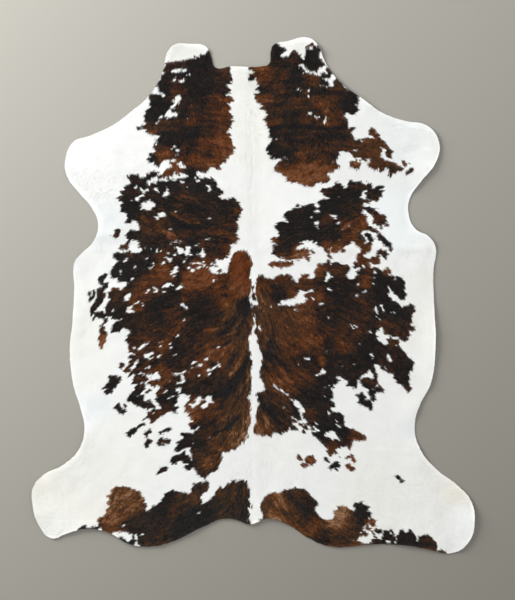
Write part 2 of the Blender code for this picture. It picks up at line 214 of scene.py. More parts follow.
     ((182, 304, 1.3), (184, 306.3, 1.3), (187, 308, 1.3)), ((180.5, 308.3, .7),), ((183, 320, .8),
     (185, 318, 1)), ((178, 335, 1.2),), ((152.5, 340, .6),), ((148.7, 342.3, .7), (145, 345, 1),
     (141, 347.5, 1.6), (139, 349, .9)), ((132, 347.5, .9), (134, 348, .8)), ((159.5, 341.5, .8),
     (162, 341, 1), (164.5, 340.7, .6)), ((169.5, 343.7, .6), (171.5, 342.5, .7)), ((171, 347, .4),),
     ((160, 347.7, .3), (161, 347, .3)), ((174.5, 354.7, .3), (177, 353, .4)), ((217.5, 347.3, .4),
     (220, 346, .4)), ((153, 357.5, .8), (151, 358, .9), (146.5, 361.7, 1)), ((155, 358.7, .7),
     (162, 354.3, .9)), ((138, 361, 1.3), (136, 363.5, 1.3), (133.5, 366.5, 1.3), (130, 368.5, 1)),
     ((144.5, 368.7, .9), (149.8, 366.4, .9)), ((174, 374.7, .8), (181, 373, 1.5), (186, 371.7, 1.5)),
     ((188, 373, .8), (189.7, 371.5, .8)), ((172.5, 372.5, .9),), ((182, 375, 2), (183.5, 379, 1.5),
     (184, 382, 1.3), (178, 382.7, .8)), ((171, 382, 1), (169.5, 381, .6)), ((164.3, 393.3, .9),
     (166.3, 391, .9)), ((167, 398.7, .8), (171, 396.7, 1.2), (173.7, 395.5, .6)), ((137, 395.2, .7),
     (139.3, 395.8, .7)), ((191.5, 363.5, .5), (196, 361, .6)), ((191.5, 368, .6), (193, 366.5, .5)),
     ((198.5, 365, 1.3), (200.7, 365, 1.5)), ((204.3, 358.5, .5), (206.5, 358.5, .5)), ((205, 367.5, 1),
     (208, 369, 1.1), (213, 371.5, 1.2)), ((203, 370.7, .6), (206, 368.5, .8)), ((208, 374.3, 1),
     (213, 371, 1.3)), ((212, 369.7, .6), (216, 366.5, .7), (219.3, 363.3, .8)), ((208, 371, 1),
     (208, 373.7, .8)), ((198, 376.7, .7), (199, 375.5, .6)), ((153, 413, .3),), ((209, 437, 1.2),
     (213, 438, 1)), ((194, 430, .7), (198, 427, .7)))),
    ("right neck",
     (((249, 64), (266, 62), (268, 60), (268.6, 51.6), (269, 43), (274.3, 43.5), (277.9, 45.1), (280.7, 47.3),
     (284.3, 48.3), (285.7, 50.1), (283.6, 52), (281.9, 54), (281.9, 55.9), (284.3, 57.6), (288.6, 56.6),
     (290.4, 54.9), (291.4, 52.3), (294, 50.9), (296.4, 52.7), (299, 55.1), (300.4, 58), (302.9, 59.4),
     (305, 59.1), (304.7, 56.6), (306.1, 55.1), (305, 52.7), (306.4, 50.9), (312.1, 50.9), (313.3, 48),
     (315.7, 46.6), (317.9, 46.3), (319.6, 48), (320.7, 51.1), (318.6, 51.9), (318.3, 56.6), (318.1, 59.4),
     (320.4, 60.9), (323.3, 62.6), (322.9, 65.1), (320.7, 68), (318.1, 69.7), (317.1, 71.9), (313.6, 70.6),
     (310, 70.6), (307.9, 69.1), (305.7, 67.3), (304.7, 64.7), (301.4, 64), (298.6, 64.4), (297.6, 66.6),
     (302.1, 67.3), (303.6, 70.1), (302.6, 73), (305.7, 73), (309.3, 73.7), (312.9, 74.9), (314.3, 76.6),
     (317.1, 75.6), (320.7, 75.4), (323.6, 74), (326.1, 74.4), (326.4, 75.9), (324.3, 76.6), (322.9, 78.7),
     (325, 80.9), (326.7, 79.4), (329.3, 79.4), (328.6, 82.3), (328.9, 84.4), (327.1, 85.9), (323.6, 84.4),
     (321.4, 83), (319.3, 83.7), (320.4, 87.3), (325, 87.3), (330.7, 87.3), (333.6, 85.9), (334.3, 82.3),
     (333.3, 80.1), (335.3, 78.7), (336.8, 80.6), (341.2, 85), (350.5, 89.6), (361, 95), (357.9, 98),
     (357.1, 101.6), (355, 103), (353.9, 105.9), (357.1, 106.9), (359, 109.4), (356.4, 112.3), (352.9, 114.9),
     (350, 113.7), (346.4, 111.6), (345, 113.7), (345.3, 116.6), (347.6, 120.1), (347.1, 123.7),
     (346.1, 126.3), (349.3, 127.7), (354.7, 127.3), (354.3, 130.1), (352.1, 132.3), (352.1, 135.9),
     (354.7, 138.7), (354, 141.5), (356.4, 140.1), (359.3, 139.4), (362.9, 141.6), (365.7, 138.7),
     (370.7, 138), (374.3, 138.4), (374.3, 136.6), (370.7, 133.7), (369.6, 130.1), (371.4, 128.7),
     (370.7, 127.3), (372.9, 126.6), (374.3, 128.7), (375.7, 129.4), (375, 131.6), (377.9, 133.4),
     (379.6, 135.1), (379.3, 137.3), (382.9, 139.4), (385.7, 143), (386.4, 146.6), (389.3, 148.7),
     (388.3, 150.9), (391.9, 151.6), (390.4, 154.4), (390.4, 157.3), (386.4, 157.3), (385, 154.4),
     (385.3, 152.3), (386.5, 150.2), (384.3, 148), (381.4, 148), (381, 150.9), (380.7, 153.7), (378.6, 155.1),
     (380, 157.3), (384.3, 158.7), (387.9, 160.9), (392.1, 162.3), (396.4, 165.1), (401.4, 167.3),
     (403.3, 168.7), (400.7, 170.1), (398.6, 172.3), (394.3, 173.7), (390.7, 176.6), (387.9, 175.1),
     (390.7, 173), (390.7, 169.4), (387.9, 168), (384.3, 168.7), (382.1, 171.6), (379.3, 171.6), (380, 168.7),
     (376.4, 168.7), (374.3, 170.1), (372.9, 168), (369.3, 167.3), (368.6, 164.4), (370, 162.3),
     (370.4, 159.4), (367.1, 159.4), (366.1, 161.6), (362.1, 160.1), (360, 161.6), (361.4, 158),
     (357.9, 157.7), (354.3, 157.3), (353.9, 154.4), (352.1, 152.3), (347.9, 151.6), (345.7, 152.3),
     (344.3, 150.9), (340.4, 149.7), (339.3, 151.6), (338.6, 155.9), (336.4, 160.1), (333.6, 161.1),
     (332.1, 162.3), (336.4, 163.4), (339.6, 165.1), (339.3, 167.3), (335.7, 168.7), (332.9, 170.6),
     (330, 171.6), (327.9, 173.7), (329, 176.3), (327.9, 180.9), (327.1, 182.6), (322.1, 182), (319.3, 182.3),
     (316.4, 183), (314.3, 185.1), (310, 186.9), (306.4, 185.1), (302.9, 184.4), (300.5, 183.2), (295, 182.3),
     (290, 182.2), (287.4, 179.2), (284.3, 175.9), (282.9, 173), (280, 172), (276.1, 172.3), (276.7, 169.4),
     (274.3, 168), (277.9, 165.9), (277.6, 162.3), (280.7, 160.6), (287.9, 159.4), (285.7, 157.7),
     (281.4, 157.7), (275.7, 158), (270.7, 158.7), (271.1, 155.9), (267.9, 154.4), (267.6, 151.6),
     (266.4, 148.7), (268.6, 145.9), (270.4, 143.4), (272.1, 141.6), (272.9, 139.4), (275.7, 138.7),
     (272.1, 137.3), (269.6, 136.6), (270.4, 133.7), (268.6, 131.6), (269.3, 128), (269.6, 125.1),
     (266.4, 123.7), (265.7, 120.9), (264.6, 119), (266.7, 116.6), (267.1, 113), (266.7, 109.4), (265, 108.7),
     (262.4, 109.4), (263.6, 106.6), (260.7, 105.1), (259.3, 102.3), (256.4, 100.1), (255, 97.3),
     (257.1, 93.7), (260, 93), (258.6, 91.6), (256.1, 90.1), (257.9, 88), (261.4, 87.3), (260, 85.1),
     (261.4, 82.3), (257.9, 83.4), (257.6, 80.9), (256.4, 78), (253.6, 78.7), (250, 79.7), (249.3, 76.3),
     (252.1, 74.4), (255.7, 71.6), (252.9, 70.1), (250, 68.3)), ((350.4, 164.4), (351.4, 162.6), (355, 162),
     (356.1, 159.4), (357.1, 162), (360, 162.3), (359.3, 165.1), (359.3, 167.3), (356.4, 168.7),
     (354.3, 167.3), (350.7, 166.6)), ((402.1, 160.1), (404.5, 160.3), (405.5, 162.5), (409.7, 162),
     (407.5, 164.5), (404.8, 166.5), (402, 165.5), (403.5, 163)), ((413.3, 169.4), (412, 172), (409.5, 173.7),
     (406, 175.3), (405, 174.8), (407.2, 173), (406, 172), (409, 170.5), (411.5, 168.3)), ((306.1, 48.7),
     (308, 45), (309.5, 42.5), (312, 41.8), (313.6, 43.5), (312.5, 46), (310, 47), (307.5, 48.7))),
     (((326.8, 68, 1.5), (328.5, 70, 1.8), (329, 73, 1.4), (328.8, 79, 1.3)), ((329.5, 70, 1.5),
     (332, 73.5, 1)), ((309.5, 46.5, 1.6), (312, 44, 1.6)), ((322.5, 77.5, 1.3), (328, 77.8, 1.3)),
     ((357.5, 99, 1), (357, 103.5, 1)), ((357, 108, 1.2), (355, 112.5, 1)), ((352.5, 129, 1.2),),
     ((371.5, 128, 1.3),), ((382, 139.5, 1.2), (386, 147.5, 1)), ((390, 173.5, 1.4), (398, 172, 1)),
     ((403.5, 162, 1.4), (405, 164.5, 1.5), (408, 162.8, .8)), ((370, 164, 1.4), (374, 168, 1.2)),
     ((407, 173.7, 1), (411, 171, 1)), ((333, 162, 1), (338, 165.5, 1))),
     (),
     (((297.5, 89, .3), (301, 90.4, .8)), ((308.6, 90.1, .6), (310, 93, 1.1), (308.2, 95.9, 1.2),
     (309.3, 98.7, .8)), ((309.5, 113.7, .9), (312.9, 115.9, 1.1), (317.9, 117, 1.6), (320.5, 116.6, .7)),
     ((316.5, 117, 1), (315.7, 120.1, .8)), ((326, 117.3, 1.4), (324.6, 122, 1.1)), ((318.6, 123.7, .6),),
     ((346.4, 90.1, .7),), ((355.7, 149, .7),), ((298.8, 68, .6),))),
    ("right shoulder",
     (((320, 191.3), (322.5, 188.8), (327.5, 188.5), (330, 187.3), (333.8, 186.9), (335.3, 184.4),
     (337.5, 182.8), (340, 183.5), (340.6, 185.6), (343.8, 187.5), (347.5, 188.8), (350, 188.1),
     (348.1, 186.3), (348.1, 183.1), (350.6, 181.3), (355, 181.9), (359.4, 181), (361.3, 183.1), (363.1, 185),
     (366.3, 185.3), (367.5, 183.1), (369.4, 183.1), (370.6, 185.6), (371.9, 188.1), (375, 188.1),
     (376.3, 186.5), (379.4, 185.3), (381.9, 185.6), (382.9, 186.9), (380.6, 188.1), (378.1, 188.8),
     (380.6, 190.6), (380, 192.5), (381.3, 195), (379, 196.9), (378.1, 198.8), (375, 200.3), (371.3, 201.3),
     (368.1, 202.3), (363.8, 201.8), (361.9, 202.2), (364.4, 204.4), (362.5, 205.6), (363.1, 207.8),
     (362.8, 210.6), (361.9, 212.5), (362.5, 215), (366.5, 216.3), (365, 218.1), (365.4, 221.3),
     (367.5, 224.4), (367.8, 226), (365.6, 228.1), (362.5, 230), (361.9, 233.1), (363.1, 236.3),
     (362.5, 238.8), (365, 240), (363.8, 241.9), (363.1, 243.8), (366.9, 243.1), (368.8, 241.3),
     (369.8, 238.8), (371.9, 240), (371, 243.1), (370, 245.6), (370, 250), (370.6, 251.9), (366.9, 251.9),
     (366, 253.8), (363.8, 255), (364.4, 257.5), (367.5, 258.8), (371.3, 258.5), (373.1, 256.9),
     (375.6, 256.9), (377.5, 255), (376.3, 253.1), (378.1, 251.8), (380, 250.6), (381.9, 251.5),
     (385.6, 251.5), (388.1, 253.8), (388.8, 255.3), (386.3, 256), (385.6, 257.5), (383.8, 256.9),
     (383.1, 255), (380.6, 253.8), (378.1, 254), (378.3, 256.3), (379, 260), (379, 262.5), (376.9, 264),
     (373.8, 263.1), (370, 262.5), (369.8, 265), (368.8, 268.1), (365.6, 265), (362.5, 264.4), (358.8, 262.5),
     (356.9, 267.5), (354.4, 267.3), (355.6, 265), (354, 263.1), (355, 261.3), (357.5, 262.5), (357.5, 258.8),
     (356.9, 256.3), (358.8, 253.1), (361.9, 251.9), (361.3, 248.8), (360.6, 246.9), (357.5, 246.3),
     (355.6, 243.8), (354, 243.1), (356.3, 241.9), (352.5, 240.3), (350, 242.5), (346.9, 245), (345, 246.9),
     (342.5, 246.9), (343.8, 250.6), (340, 251), (336.9, 252.5), (333.1, 252.5), (331.3, 250.6),
     (331.3, 248.8), (328.1, 249.4), (328.8, 253.1), (330.6, 255.6), (330.6, 258.1), (328.1, 256.3),
     (326.9, 253.1), (325, 250.6), (326.3, 248.8), (322.5, 246.9), (318.8, 245.6), (316.5, 243.8),
     (317.3, 242.5), (314.4, 241.9), (311.9, 240.3), (308.1, 239.8), (304.4, 240.3), (300.6, 242.8),
     (298.1, 245.6), (294.4, 248.1), (293.8, 250), (297.8, 250.6), (302.5, 250), (306.3, 249), (308.5, 249),
     (308.1, 251.9), (309.8, 254.4), (306.3, 255.6), (309.4, 257.5), (308.8, 259.4), (305.6, 258.1),
     (303.8, 256.3), (298.8, 259.4), (294.4, 258.5), (291.3, 259.4), (286.3, 256.9), (282.5, 258.8),
     (278.1, 258.1), (276.9, 255), (274.4, 253.1), (271.3, 253.5), (273.8, 250), (275.6, 245), (274.4, 241.3),
     (271.9, 240), (273.8, 238.1), (278.1, 237.5), (279.4, 236.3), (280, 233.8), (276.9, 231.3),
     (275.4, 228.8), (276.3, 225.6), (279.4, 223.1), (285, 222.3), (288.8, 221.5), (287.5, 218.8),
     (283.8, 216.9), (285.6, 214.4), (285.6, 212.5), (288.8, 210.6), (295.6, 209), (299.4, 208.8),
     (301.3, 206.3), (305, 206.3), (307.5, 206), (308.8, 204.8), (312.5, 204.4), (313.1, 206.9),
     (315.6, 208.1), (315, 209.8), (311.9, 210), (313.1, 211.9), (316.3, 211.9), (320, 213.8), (320.6, 212.5),
     (319, 210.6), (318.8, 208.1), (320, 205.6), (318.5, 203.1), (320, 200), (325, 198.5), (326.9, 200),
     (330, 200.6), (330.6, 198.8), (328.1, 198.1), (325, 195.6), (321.9, 193.1)), ((363, 207.5),
     (367.5, 206.7), (369.4, 208.1), (371.3, 208.5), (377.5, 210.6), (379.8, 211.9), (378.1, 213.1),
     (381.3, 214.4), (384.4, 215), (384.8, 216.9), (383.1, 218.8), (384.4, 220.6), (385, 223.1),
     (386.9, 225.4), (381.9, 224.4), (378.8, 225.3), (375.6, 223.1), (373.1, 223.1), (373.8, 221),
     (375.6, 219), (373.8, 217.5), (372.8, 214.8), (372.5, 213.1), (370, 213.1), (367.5, 211.5),
     (365.6, 209.4)), ((368.3, 226), (372.5, 227.5), (376.3, 229.4), (376.9, 230.8), (373.8, 230.5),
     (370.6, 229.8)), ((376, 231.9), (380.6, 235), (385, 238.8), (388.8, 241.9), (390.6, 245), (391.9, 248.8),
     (391.3, 250), (388.8, 248.8), (388.1, 246.3), (385.6, 245), (381.3, 241.3), (377.5, 237.3),
     (376.9, 234.4)), ((364.4, 233.1), (368.8, 233.8), (371.3, 233.1), (371.9, 237.5), (370.6, 239.4),
     (367.5, 238.5), (366.3, 236.3), (363.8, 234.8)), ((270, 264), (271.9, 261.3), (275, 261.3),
     (278.8, 261.9), (283.8, 261.3), (286.9, 259.8), (288.8, 261.3), (290.6, 263.1), (293.5, 264.4),
     (288.8, 264.8), (285.6, 266.3), (281.3, 268.1), (277.5, 266.9), (272.5, 266.3))),
     (((297.5, 205, 1.2),), ((381, 227.5, .9),), ((311.5, 251, .8), (313.2, 252.3, .7)), ((326.5, 249, 1.3),
     (329, 253, 1.5), (330, 257, 1)), ((307.5, 250.5, 1.3), (308.5, 254, 1.3), (308, 257.5, 1)),
     ((271.5, 264, 2), (281, 265, 2.8), (291, 263.3, 1.2)), ((363, 208.5, 1.2), (367, 208, 1.2),
     (371, 210.5, 1.6), (378, 213.5, 1.6)), ((362, 230, 1.2), (369, 228.3, 1.4), (376, 230.8, 1.2)),
     ((364.5, 234, 1), (370, 235, 1.8), (369, 238.5, 1.6), (371, 241, 1)), ((378, 257, 1.3),
     (378.5, 262, 1.3)), ((362, 251.5, 1.2), (358, 256, 1)), ((337, 183.5, 1.2), (343, 187.5, 1)),
     ((302, 207, 1.3), (308, 206, 1)), ((285.5, 214, 1.4), (286.5, 219.5, 1)), ((276.5, 227, 1.2),
     (279, 233, 1.2)), ((275.5, 243, 1.2), (275, 250, 1.2)), ((324, 199.3, 1), (329.5, 199.5, 1)),
     ((357.5, 264, 1.2), (362, 266, 1.2)), ((381, 191, 1), (380, 196, 1)), ((345, 245.5, 1), (350, 242, 1))),
     (((360.6, 190.4), (365, 189.9), (367, 191), (364.8, 193.8), (366.5, 197), (369.5, 199.6), (365, 200.2),
     (360.3, 198.5), (359.6, 197.3), (361.3, 195.6)),),
     (((329.5, 194, .4), (331.5, 193.6, .5)), ((336.9, 197, .6), (339.5, 195.8, .7)), ((346.3, 194, .5),),
     ((309.3, 216.3, .8), (311.5, 217, 1)), ((313, 221.5, .7), (316, 223.5, 1.6), (318.8, 222.8, 1.3)),
     ((317, 226, 1.1), (318, 228, .7)), ((330, 214.8, .6), (334.5, 216.3, 1.5), (338, 215, 1.1)),
     ((334.5, 217.5, 1.3), (336, 218.6, .9)), ((336, 223.4, .4),), ((338.5, 222.5, .4),), ((343.5, 211, .4),),
     ((348.5, 222, .4), (349, 226, .2)), ((342, 229.5, .5),), ((336, 241.5, .4), (339, 240, .3)),
     ((283, 257.3, .8), (285.5, 257, .6)))),
    ("right flank",
     (((259, 276), (262, 275.5), (270, 279), (272, 279.5), (277, 275.5), (280, 274.5), (290, 274), (293, 279),
     (296, 282), (298, 282.5), (302, 275), (305, 274), (308, 274.5), (309, 278), (315, 278.5), (316, 275),
     (315, 272), (319, 265), (325, 265), (326, 262), (328, 260), (331, 264), (333, 262.5), (336, 262.5),
     (348, 266.5), (349, 269), (347, 271), (345, 275), (350, 279), (353, 278.6), (357.5, 275), (357, 272),
     (363, 268), (372, 268), (375, 266.5), (382, 271), (387, 268), (390, 269), (391, 272), (389, 275),
     (392.7, 276), (395, 279), (396.4, 276), (401.8, 277.3), (403.6, 281.4), (405, 286), (404, 291.4),
     (406, 294.3), (404, 298.6), (402.7, 300.5), (397.3, 295), (393.6, 291.4), (388.2, 285), (387.3, 286.8),
     (389, 291.4), (387.7, 295), (390, 297.6), (393.6, 300.6), (398.5, 304.6), (400.9, 307.3), (408, 306),
     (410, 303), (413.6, 306), (415.5, 308.6), (411.8, 315), (410.9, 320), (412, 326), (415.5, 329.5),
     (408.2, 329.5), (409.5, 334), (407.3, 339), (404.5, 340), (400, 336.8), (397.7, 335), (395, 336.5),
     (391, 334), (385.5, 334), (384.5, 330.5), (382.5, 328), (381.5, 324), (379, 329), (376.8, 330.5),
     (375.5, 335), (378, 339.5), (384.5, 344.5), (388.6, 344), (388, 339.5), (390, 337), (392, 339.5),
     (398, 339), (399, 343), (397.5, 345), (400, 348), (404, 351.6), (409, 358.2), (412.6, 362.6),
     (412.3, 371.4), (409.5, 370), (409, 373), (410.5, 377.7), (406, 380.5), (408.6, 385), (411.8, 387.7),
     (407.7, 391.8), (402.7, 384.5), (399.5, 383.6), (393.6, 377.7), (394.5, 375), (393, 373), (388.6, 372.3),
     (384, 370), (381.4, 366.8), (382.7, 364), (373, 362.5), (372, 364), (375, 369.5), (376.8, 374),
     (377.3, 382.3), (377, 386), (379.5, 386), (383, 388.6), (382.7, 390.5), (376, 391.4), (374, 395),
     (375.5, 398.6), (374, 400.5), (368, 394), (368.6, 391.4), (374.5, 388.7), (366, 387.3), (362.3, 386),
     (360.5, 380.5), (365, 378), (374, 378.5), (372.3, 373), (370.5, 369.5), (369, 369), (363, 374),
     (359.5, 377.7), (356.8, 379.5), (356.4, 386.4), (352.3, 386.8), (347.3, 384.5), (348, 382.3),
     (346, 378.6), (343, 378), (340, 375.3), (338.6, 376.5), (336.5, 375.5), (335.8, 377), (337, 380.5),
     (340.5, 379.5), (336.5, 383.6), (329.5, 385.6), (333, 387.7), (331, 389.5), (333.4, 393.6), (331.4, 395),
     (333, 397.7), (331, 398.6), (333.6, 405.8), (330.6, 406.8), (330, 410.5), (331.5, 412.5), (335, 411.8),
     (341.4, 414), (343, 419.5), (344.5, 421.4), (342.3, 426.8), (350, 428.6), (355, 430), (364, 434.5),
     (366.4, 437.7), (365.9, 439.5), (361.4, 439.5), (359, 441.8), (355, 438.6), (352.3, 438.6), (350.9, 444),
     (350, 449), (348.6, 449), (347.7, 446.4), (344.5, 446.4), (337.7, 448), (336, 450), (337.7, 452.3),
     (333.6, 453), (330.5, 456), (326.4, 450.5), (328, 448.6), (322.3, 444), (320.5, 441.4), (315, 435),
     (312.8, 432), (320.5, 430.8), (318, 428.5), (314, 425.5), (308.6, 423), (306.8, 421.4), (303, 415),
     (305.5, 410.5), (303, 406.8), (299.5, 402.5), (292.3, 397.7), (288.6, 396), (287.5, 396.5),
     (291.4, 401.4), (294, 406), (299.5, 408.6), (297.7, 410.5), (299.5, 413.5), (300.9, 419), (295.5, 421),
     (291.4, 421), (290.5, 426.8), (287.7, 430.5), (280.5, 432.7), (272.3, 430.5), (270.9, 436.4),
     (267.7, 435), (263, 435), (256.8, 432.7), (254, 431), (255.5, 426.8), (256.8, 419.5), (256.8, 414),
     (257.7, 407.7), (259, 404), (257.7, 400.5), (258.6, 396.8), (256.8, 393), (261.4, 392.3), (266.5, 388.5),
     (264.5, 386), (266, 384.5), (262.3, 379.5), (260.5, 376), (260, 371.4), (261.4, 367.7), (264, 364),
     (261.8, 361.4), (263, 358.6), (262.3, 354), (260, 349.5), (258.6, 342.3), (255.5, 334), (257, 324),
     (255, 314), (253, 312), (253, 309), (258, 309), (262, 308), (259.5, 304), (257.3, 298.6), (255.9, 293),
     (256.4, 282.3)), ((356.8, 394.5), (359.5, 393.6), (362.3, 394), (365, 398.5), (368.6, 400.5),
     (371.4, 404), (373, 407.7), (371.4, 409.5), (364, 406), (358, 402.3), (359.5, 400))),
     (((309, 459, 4), (311, 460, 4)), ((299, 458, 2), (302, 459.5, 1)), ((303, 463.5, 1.2), (305, 466, 1.6)),
     ((325, 458, 1.1), (329, 462, 1.1)), ((336, 464.5, 2.6), (331, 467, 1.4)), ((336, 467, 2.2),
     (337.5, 469, 1)), ((347, 457.5, 1.1), (351, 456.5, 2), (354.5, 460.5, 1.6)), ((348, 466.5, 2),
     (352, 468.5, 1.8)), ((397, 476, 1.1), (402, 481, 1.1)), ((301, 424.3, 1.6), (306, 427, 1.6)),
     ((293, 407, 1), (296.5, 408.5, 1)), ((291.5, 427.5, 1.4), (297.5, 428.5, 1.2)), ((253, 307.3, 1.6),
     (258.5, 307.3, 1.3)), ((308, 423.5, 1), (312, 428, .8)), ((303.5, 431.3, 1.2),), ((340, 457, .8),),
     ((310.5, 426, .8), (313, 429, .8))),
     (((299.5, 289.5), (303, 288.8), (307.7, 292.5), (304.5, 295), (306.4, 299.5), (305.5, 302.3),
     (299.5, 304.5), (295, 304.5), (289.5, 306.8), (282.3, 305), (281, 302.3), (281.4, 299.5), (290.5, 299.5),
     (294, 296.8), (298.6, 291.4)), ((326.5, 271), (330, 272), (329.5, 276), (328.5, 280.5), (325.5, 281.3),
     (326.3, 276.5)), ((324, 433), (325, 431.5), (333, 431), (336.8, 433), (340, 440), (332.3, 439),
     (325, 435.9))),
     (((307, 292, .9), (312, 291, .5)), ((325.5, 286.5, .6), (328, 288, .8), (331, 290.3, 1.1)),
     ((321, 303.2, .9), (323, 303.8, 1)), ((329, 276.5, .3), (333, 276.5, .2)), ((361.5, 292.4, .6),
     (365.8, 291, .8)), ((375.5, 308, 1), (378, 314, .6)), ((381, 305, 1.1), (383.5, 310, .8)),
     ((377.5, 317, .5), (381, 320, .6)), ((327.3, 316.3, .6), (329.7, 318.6, 1)), ((354.6, 324.8, .7),
     (357.4, 327.2, .9)), ((352, 325, .6), (353, 327, .6)), ((391.5, 320.5, .6), (393, 322, .7)),
     ((391, 312, .6), (394, 313, .6)), ((400, 346, .8), (396, 345, .8)), ((367, 337, .9),), ((371, 354.5, .6),
     (373, 356, .4)), ((388, 355, .8), (391, 361, .8)), ((306.5, 358.4, .8), (308.3, 359.2, .9)),
     ((322, 371, 1.9), (320, 375, 1.2)), ((317.5, 375, .6), (325, 371.5, 1)), ((326.6, 352.5, .7),),
     ((341.5, 365.5, .9),), ((317.7, 366, .7),), ((324.5, 387.7, .8),), ((323, 394.5, .5),
     (325.5, 397.3, .8)), ((292.7, 308.6, .6), (296, 309.5, .8)), ((297.7, 311, .9),), ((272, 384.5, .6),
     (280, 389.5, .6), (289, 396, .7)), ((328.5, 413, 1.5), (329, 414, 1.3)), ((314.5, 421.5, .8),
     (318, 424.5, .8)), ((331.5, 417.7, .7), (337.3, 421.4, .8)), ((336.4, 424.5, .8), (341.8, 428, .7)),
     ((259.5, 325.5, .8), (260.5, 331, 1.3)), ((291, 407.3, .2),), ((284, 407, .5), (288, 405, .6)),
     ((292, 417.5, 1), (297, 420, .8)), ((388, 357, .9), (390.5, 360.5, .9)), ((385, 366.5, .9),
     (387, 369, .6)), ((368, 331, .8), (371, 332.3, .9)), ((367, 352.5, .4), (371.5, 354.8, .8)),
     ((371.8, 358, .3), (373, 360, .3)), ((299, 363.5, .8),), ((353, 363.5, .3), (355, 364.5, .3)),
     ((359.5, 343, .7),), ((357, 296, .3),), ((358, 284, .4),), ((311.5, 297, .8), (314, 298.3, .8)),
     ((372.5, 283.5, .4), (374.5, 282.8, .3)), ((374.5, 270.5, .5), (377.5, 274.5, .8), (374.5, 277.8, .6)),
     ((271, 307, .2),), ((278, 305, .5), (280, 303.5, .7)))),
    ("left rump",
     (((112.7, 490), (116, 487.3), (120.5, 486.8), (125, 487), (131.4, 488.6), (140.5, 492.7), (141, 496.4),
     (144.5, 499), (144.5, 501.8), (145.5, 506.4), (143.5, 508), (147.7, 511.8), (151.4, 506.4), (155, 506.4),
     (158.6, 504.5), (161.8, 501), (163, 497.3), (165.9, 493.6), (169.5, 491.8), (171.4, 489.5), (175, 491),
     (182.3, 492.7), (190.9, 494), (193, 488), (194, 483.5), (200.4, 482), (208.8, 482.7), (208, 488),
     (203, 493), (200.4, 495), (200.4, 498.8), (202.3, 502), (200.4, 505), (205, 503), (209.6, 500.4),
     (212, 497.3), (215.4, 495), (215, 492.7), (217.3, 489.6), (221, 487), (223.5, 488.8), (228, 483.5),
     (231, 482.7), (232, 480.4), (238.8, 480.4), (241, 479.6), (245, 481.5), (246.5, 485), (247.3, 489.6),
     (248.8, 490.4), (249.2, 495), (248.8, 501), (249.6, 506.5), (248, 507.3), (248.5, 520), (251, 523.5),
     (249, 528), (215, 526), (195, 536), (170, 548), (142, 549), (140.5, 545), (138, 541), (138.6, 535),
     (135, 533), (129.5, 532.3), (125.9, 530.5), (115.9, 531), (110.5, 534.5), (107.7, 532), (104, 528.7),
     (100.5, 527.5), (92, 532), (78, 532), (79.5, 528), (83, 526), (88.6, 526.8), (93, 526), (100, 526.5),
     (98.2, 524.5), (99, 522.7), (97.7, 519), (102.3, 516.4), (106.8, 513.6), (107.3, 510), (110.5, 506.4),
     (107.7, 502.7), (110, 500), (108, 496.4), (111.4, 493.6)), ((120.5, 536), (126, 540.5), (130, 541.5),
     (133, 539.5), (136, 539.5), (133, 546), (119, 540))),
     (((133.2, 534, .7), (133.5, 537.5, .8)),),
     (),
     (((141, 535, .8), (143.5, 533.5, .8)), ((235.4, 481.5, .9), (235.4, 484.5, .8)), ((198.5, 511.5, .8),),
     ((122, 526, .9), (123.5, 525, .8)))),
    ("right rump",
     (((259, 520), (261.3, 518), (262.8, 516), (262.3, 510.7), (261.3, 505.6), (262.3, 500.5), (266, 497),
     (269.5, 493.3), (274.6, 492.8), (279.7, 493.3), (285.9, 489.7), (296, 487.7), (304.3, 489.7),
     (307.4, 492.3), (310.5, 495), (312, 498.5), (315.6, 500.5), (317, 504), (315, 506.6), (314.6, 509.7),
     (317.6, 516), (321.8, 518.4), (331, 520), (334, 518), (333.5, 515), (337, 508.7), (340.2, 505.6),
     (347.4, 507.7), (354.6, 510.7), (353.5, 504.6), (355.6, 503), (361.7, 502), (363.8, 504.6), (369, 507.2),
     (367, 510.7), (370.4, 512.8), (370.4, 515.4), (367.9, 516), (368, 518.4), (372, 518.4), (374.5, 520),
     (375, 524), (373.5, 527.2), (372, 529.2), (373, 532), (375.6, 536.5), (374, 537), (371.5, 532),
     (369, 529), (366.5, 529), (366, 524), (364.5, 523), (363.3, 528.2), (361, 532), (368, 533.3), (367, 536),
     (359.7, 534.5), (356.6, 538.4), (353.5, 539.5), (352, 541.5), (356.6, 541.5), (361.7, 542), (366, 543.5),
     (371, 544), (371.5, 539.5), (376, 538.4), (380.2, 539), (383.3, 540.5), (387, 542.5), (396, 543),
     (399, 550), (325, 550), (296, 536), (281, 524)), ((397, 544), (396.6, 537.4), (400, 530.2), (402, 529.2),
     (404.8, 532.3), (407.8, 532.3), (410, 529.2), (413, 532.3), (416.6, 539.5), (418.6, 546), (418, 551),
     (399, 549)), ((418.1, 539), (419, 536.4), (424.2, 535.4), (428.3, 534.3), (430.4, 536), (433.5, 540.5),
     (436.5, 542.5), (437, 546), (436, 550), (434.5, 554), (421, 549)), ((382, 536), (384.3, 531.3),
     (386.3, 531.3), (391, 530.2), (393.5, 533.8), (395.6, 536.4), (395.6, 539.5), (393.5, 541.5), (387, 540),
     (382, 539.5)), ((438.6, 547.6), (441.7, 549.2), (444.8, 551.7), (444, 557), (438, 553))),
     (((376, 528.5, 1.3), (381, 532, 1.1)),),
     (),
     (((368.5, 523, .9), (369.5, 526, .7)), ((333, 507, .6), (337, 509, .6)), ((391, 533, .6),
     (393, 531, .5)), ((368, 540.5, .6),))),
)
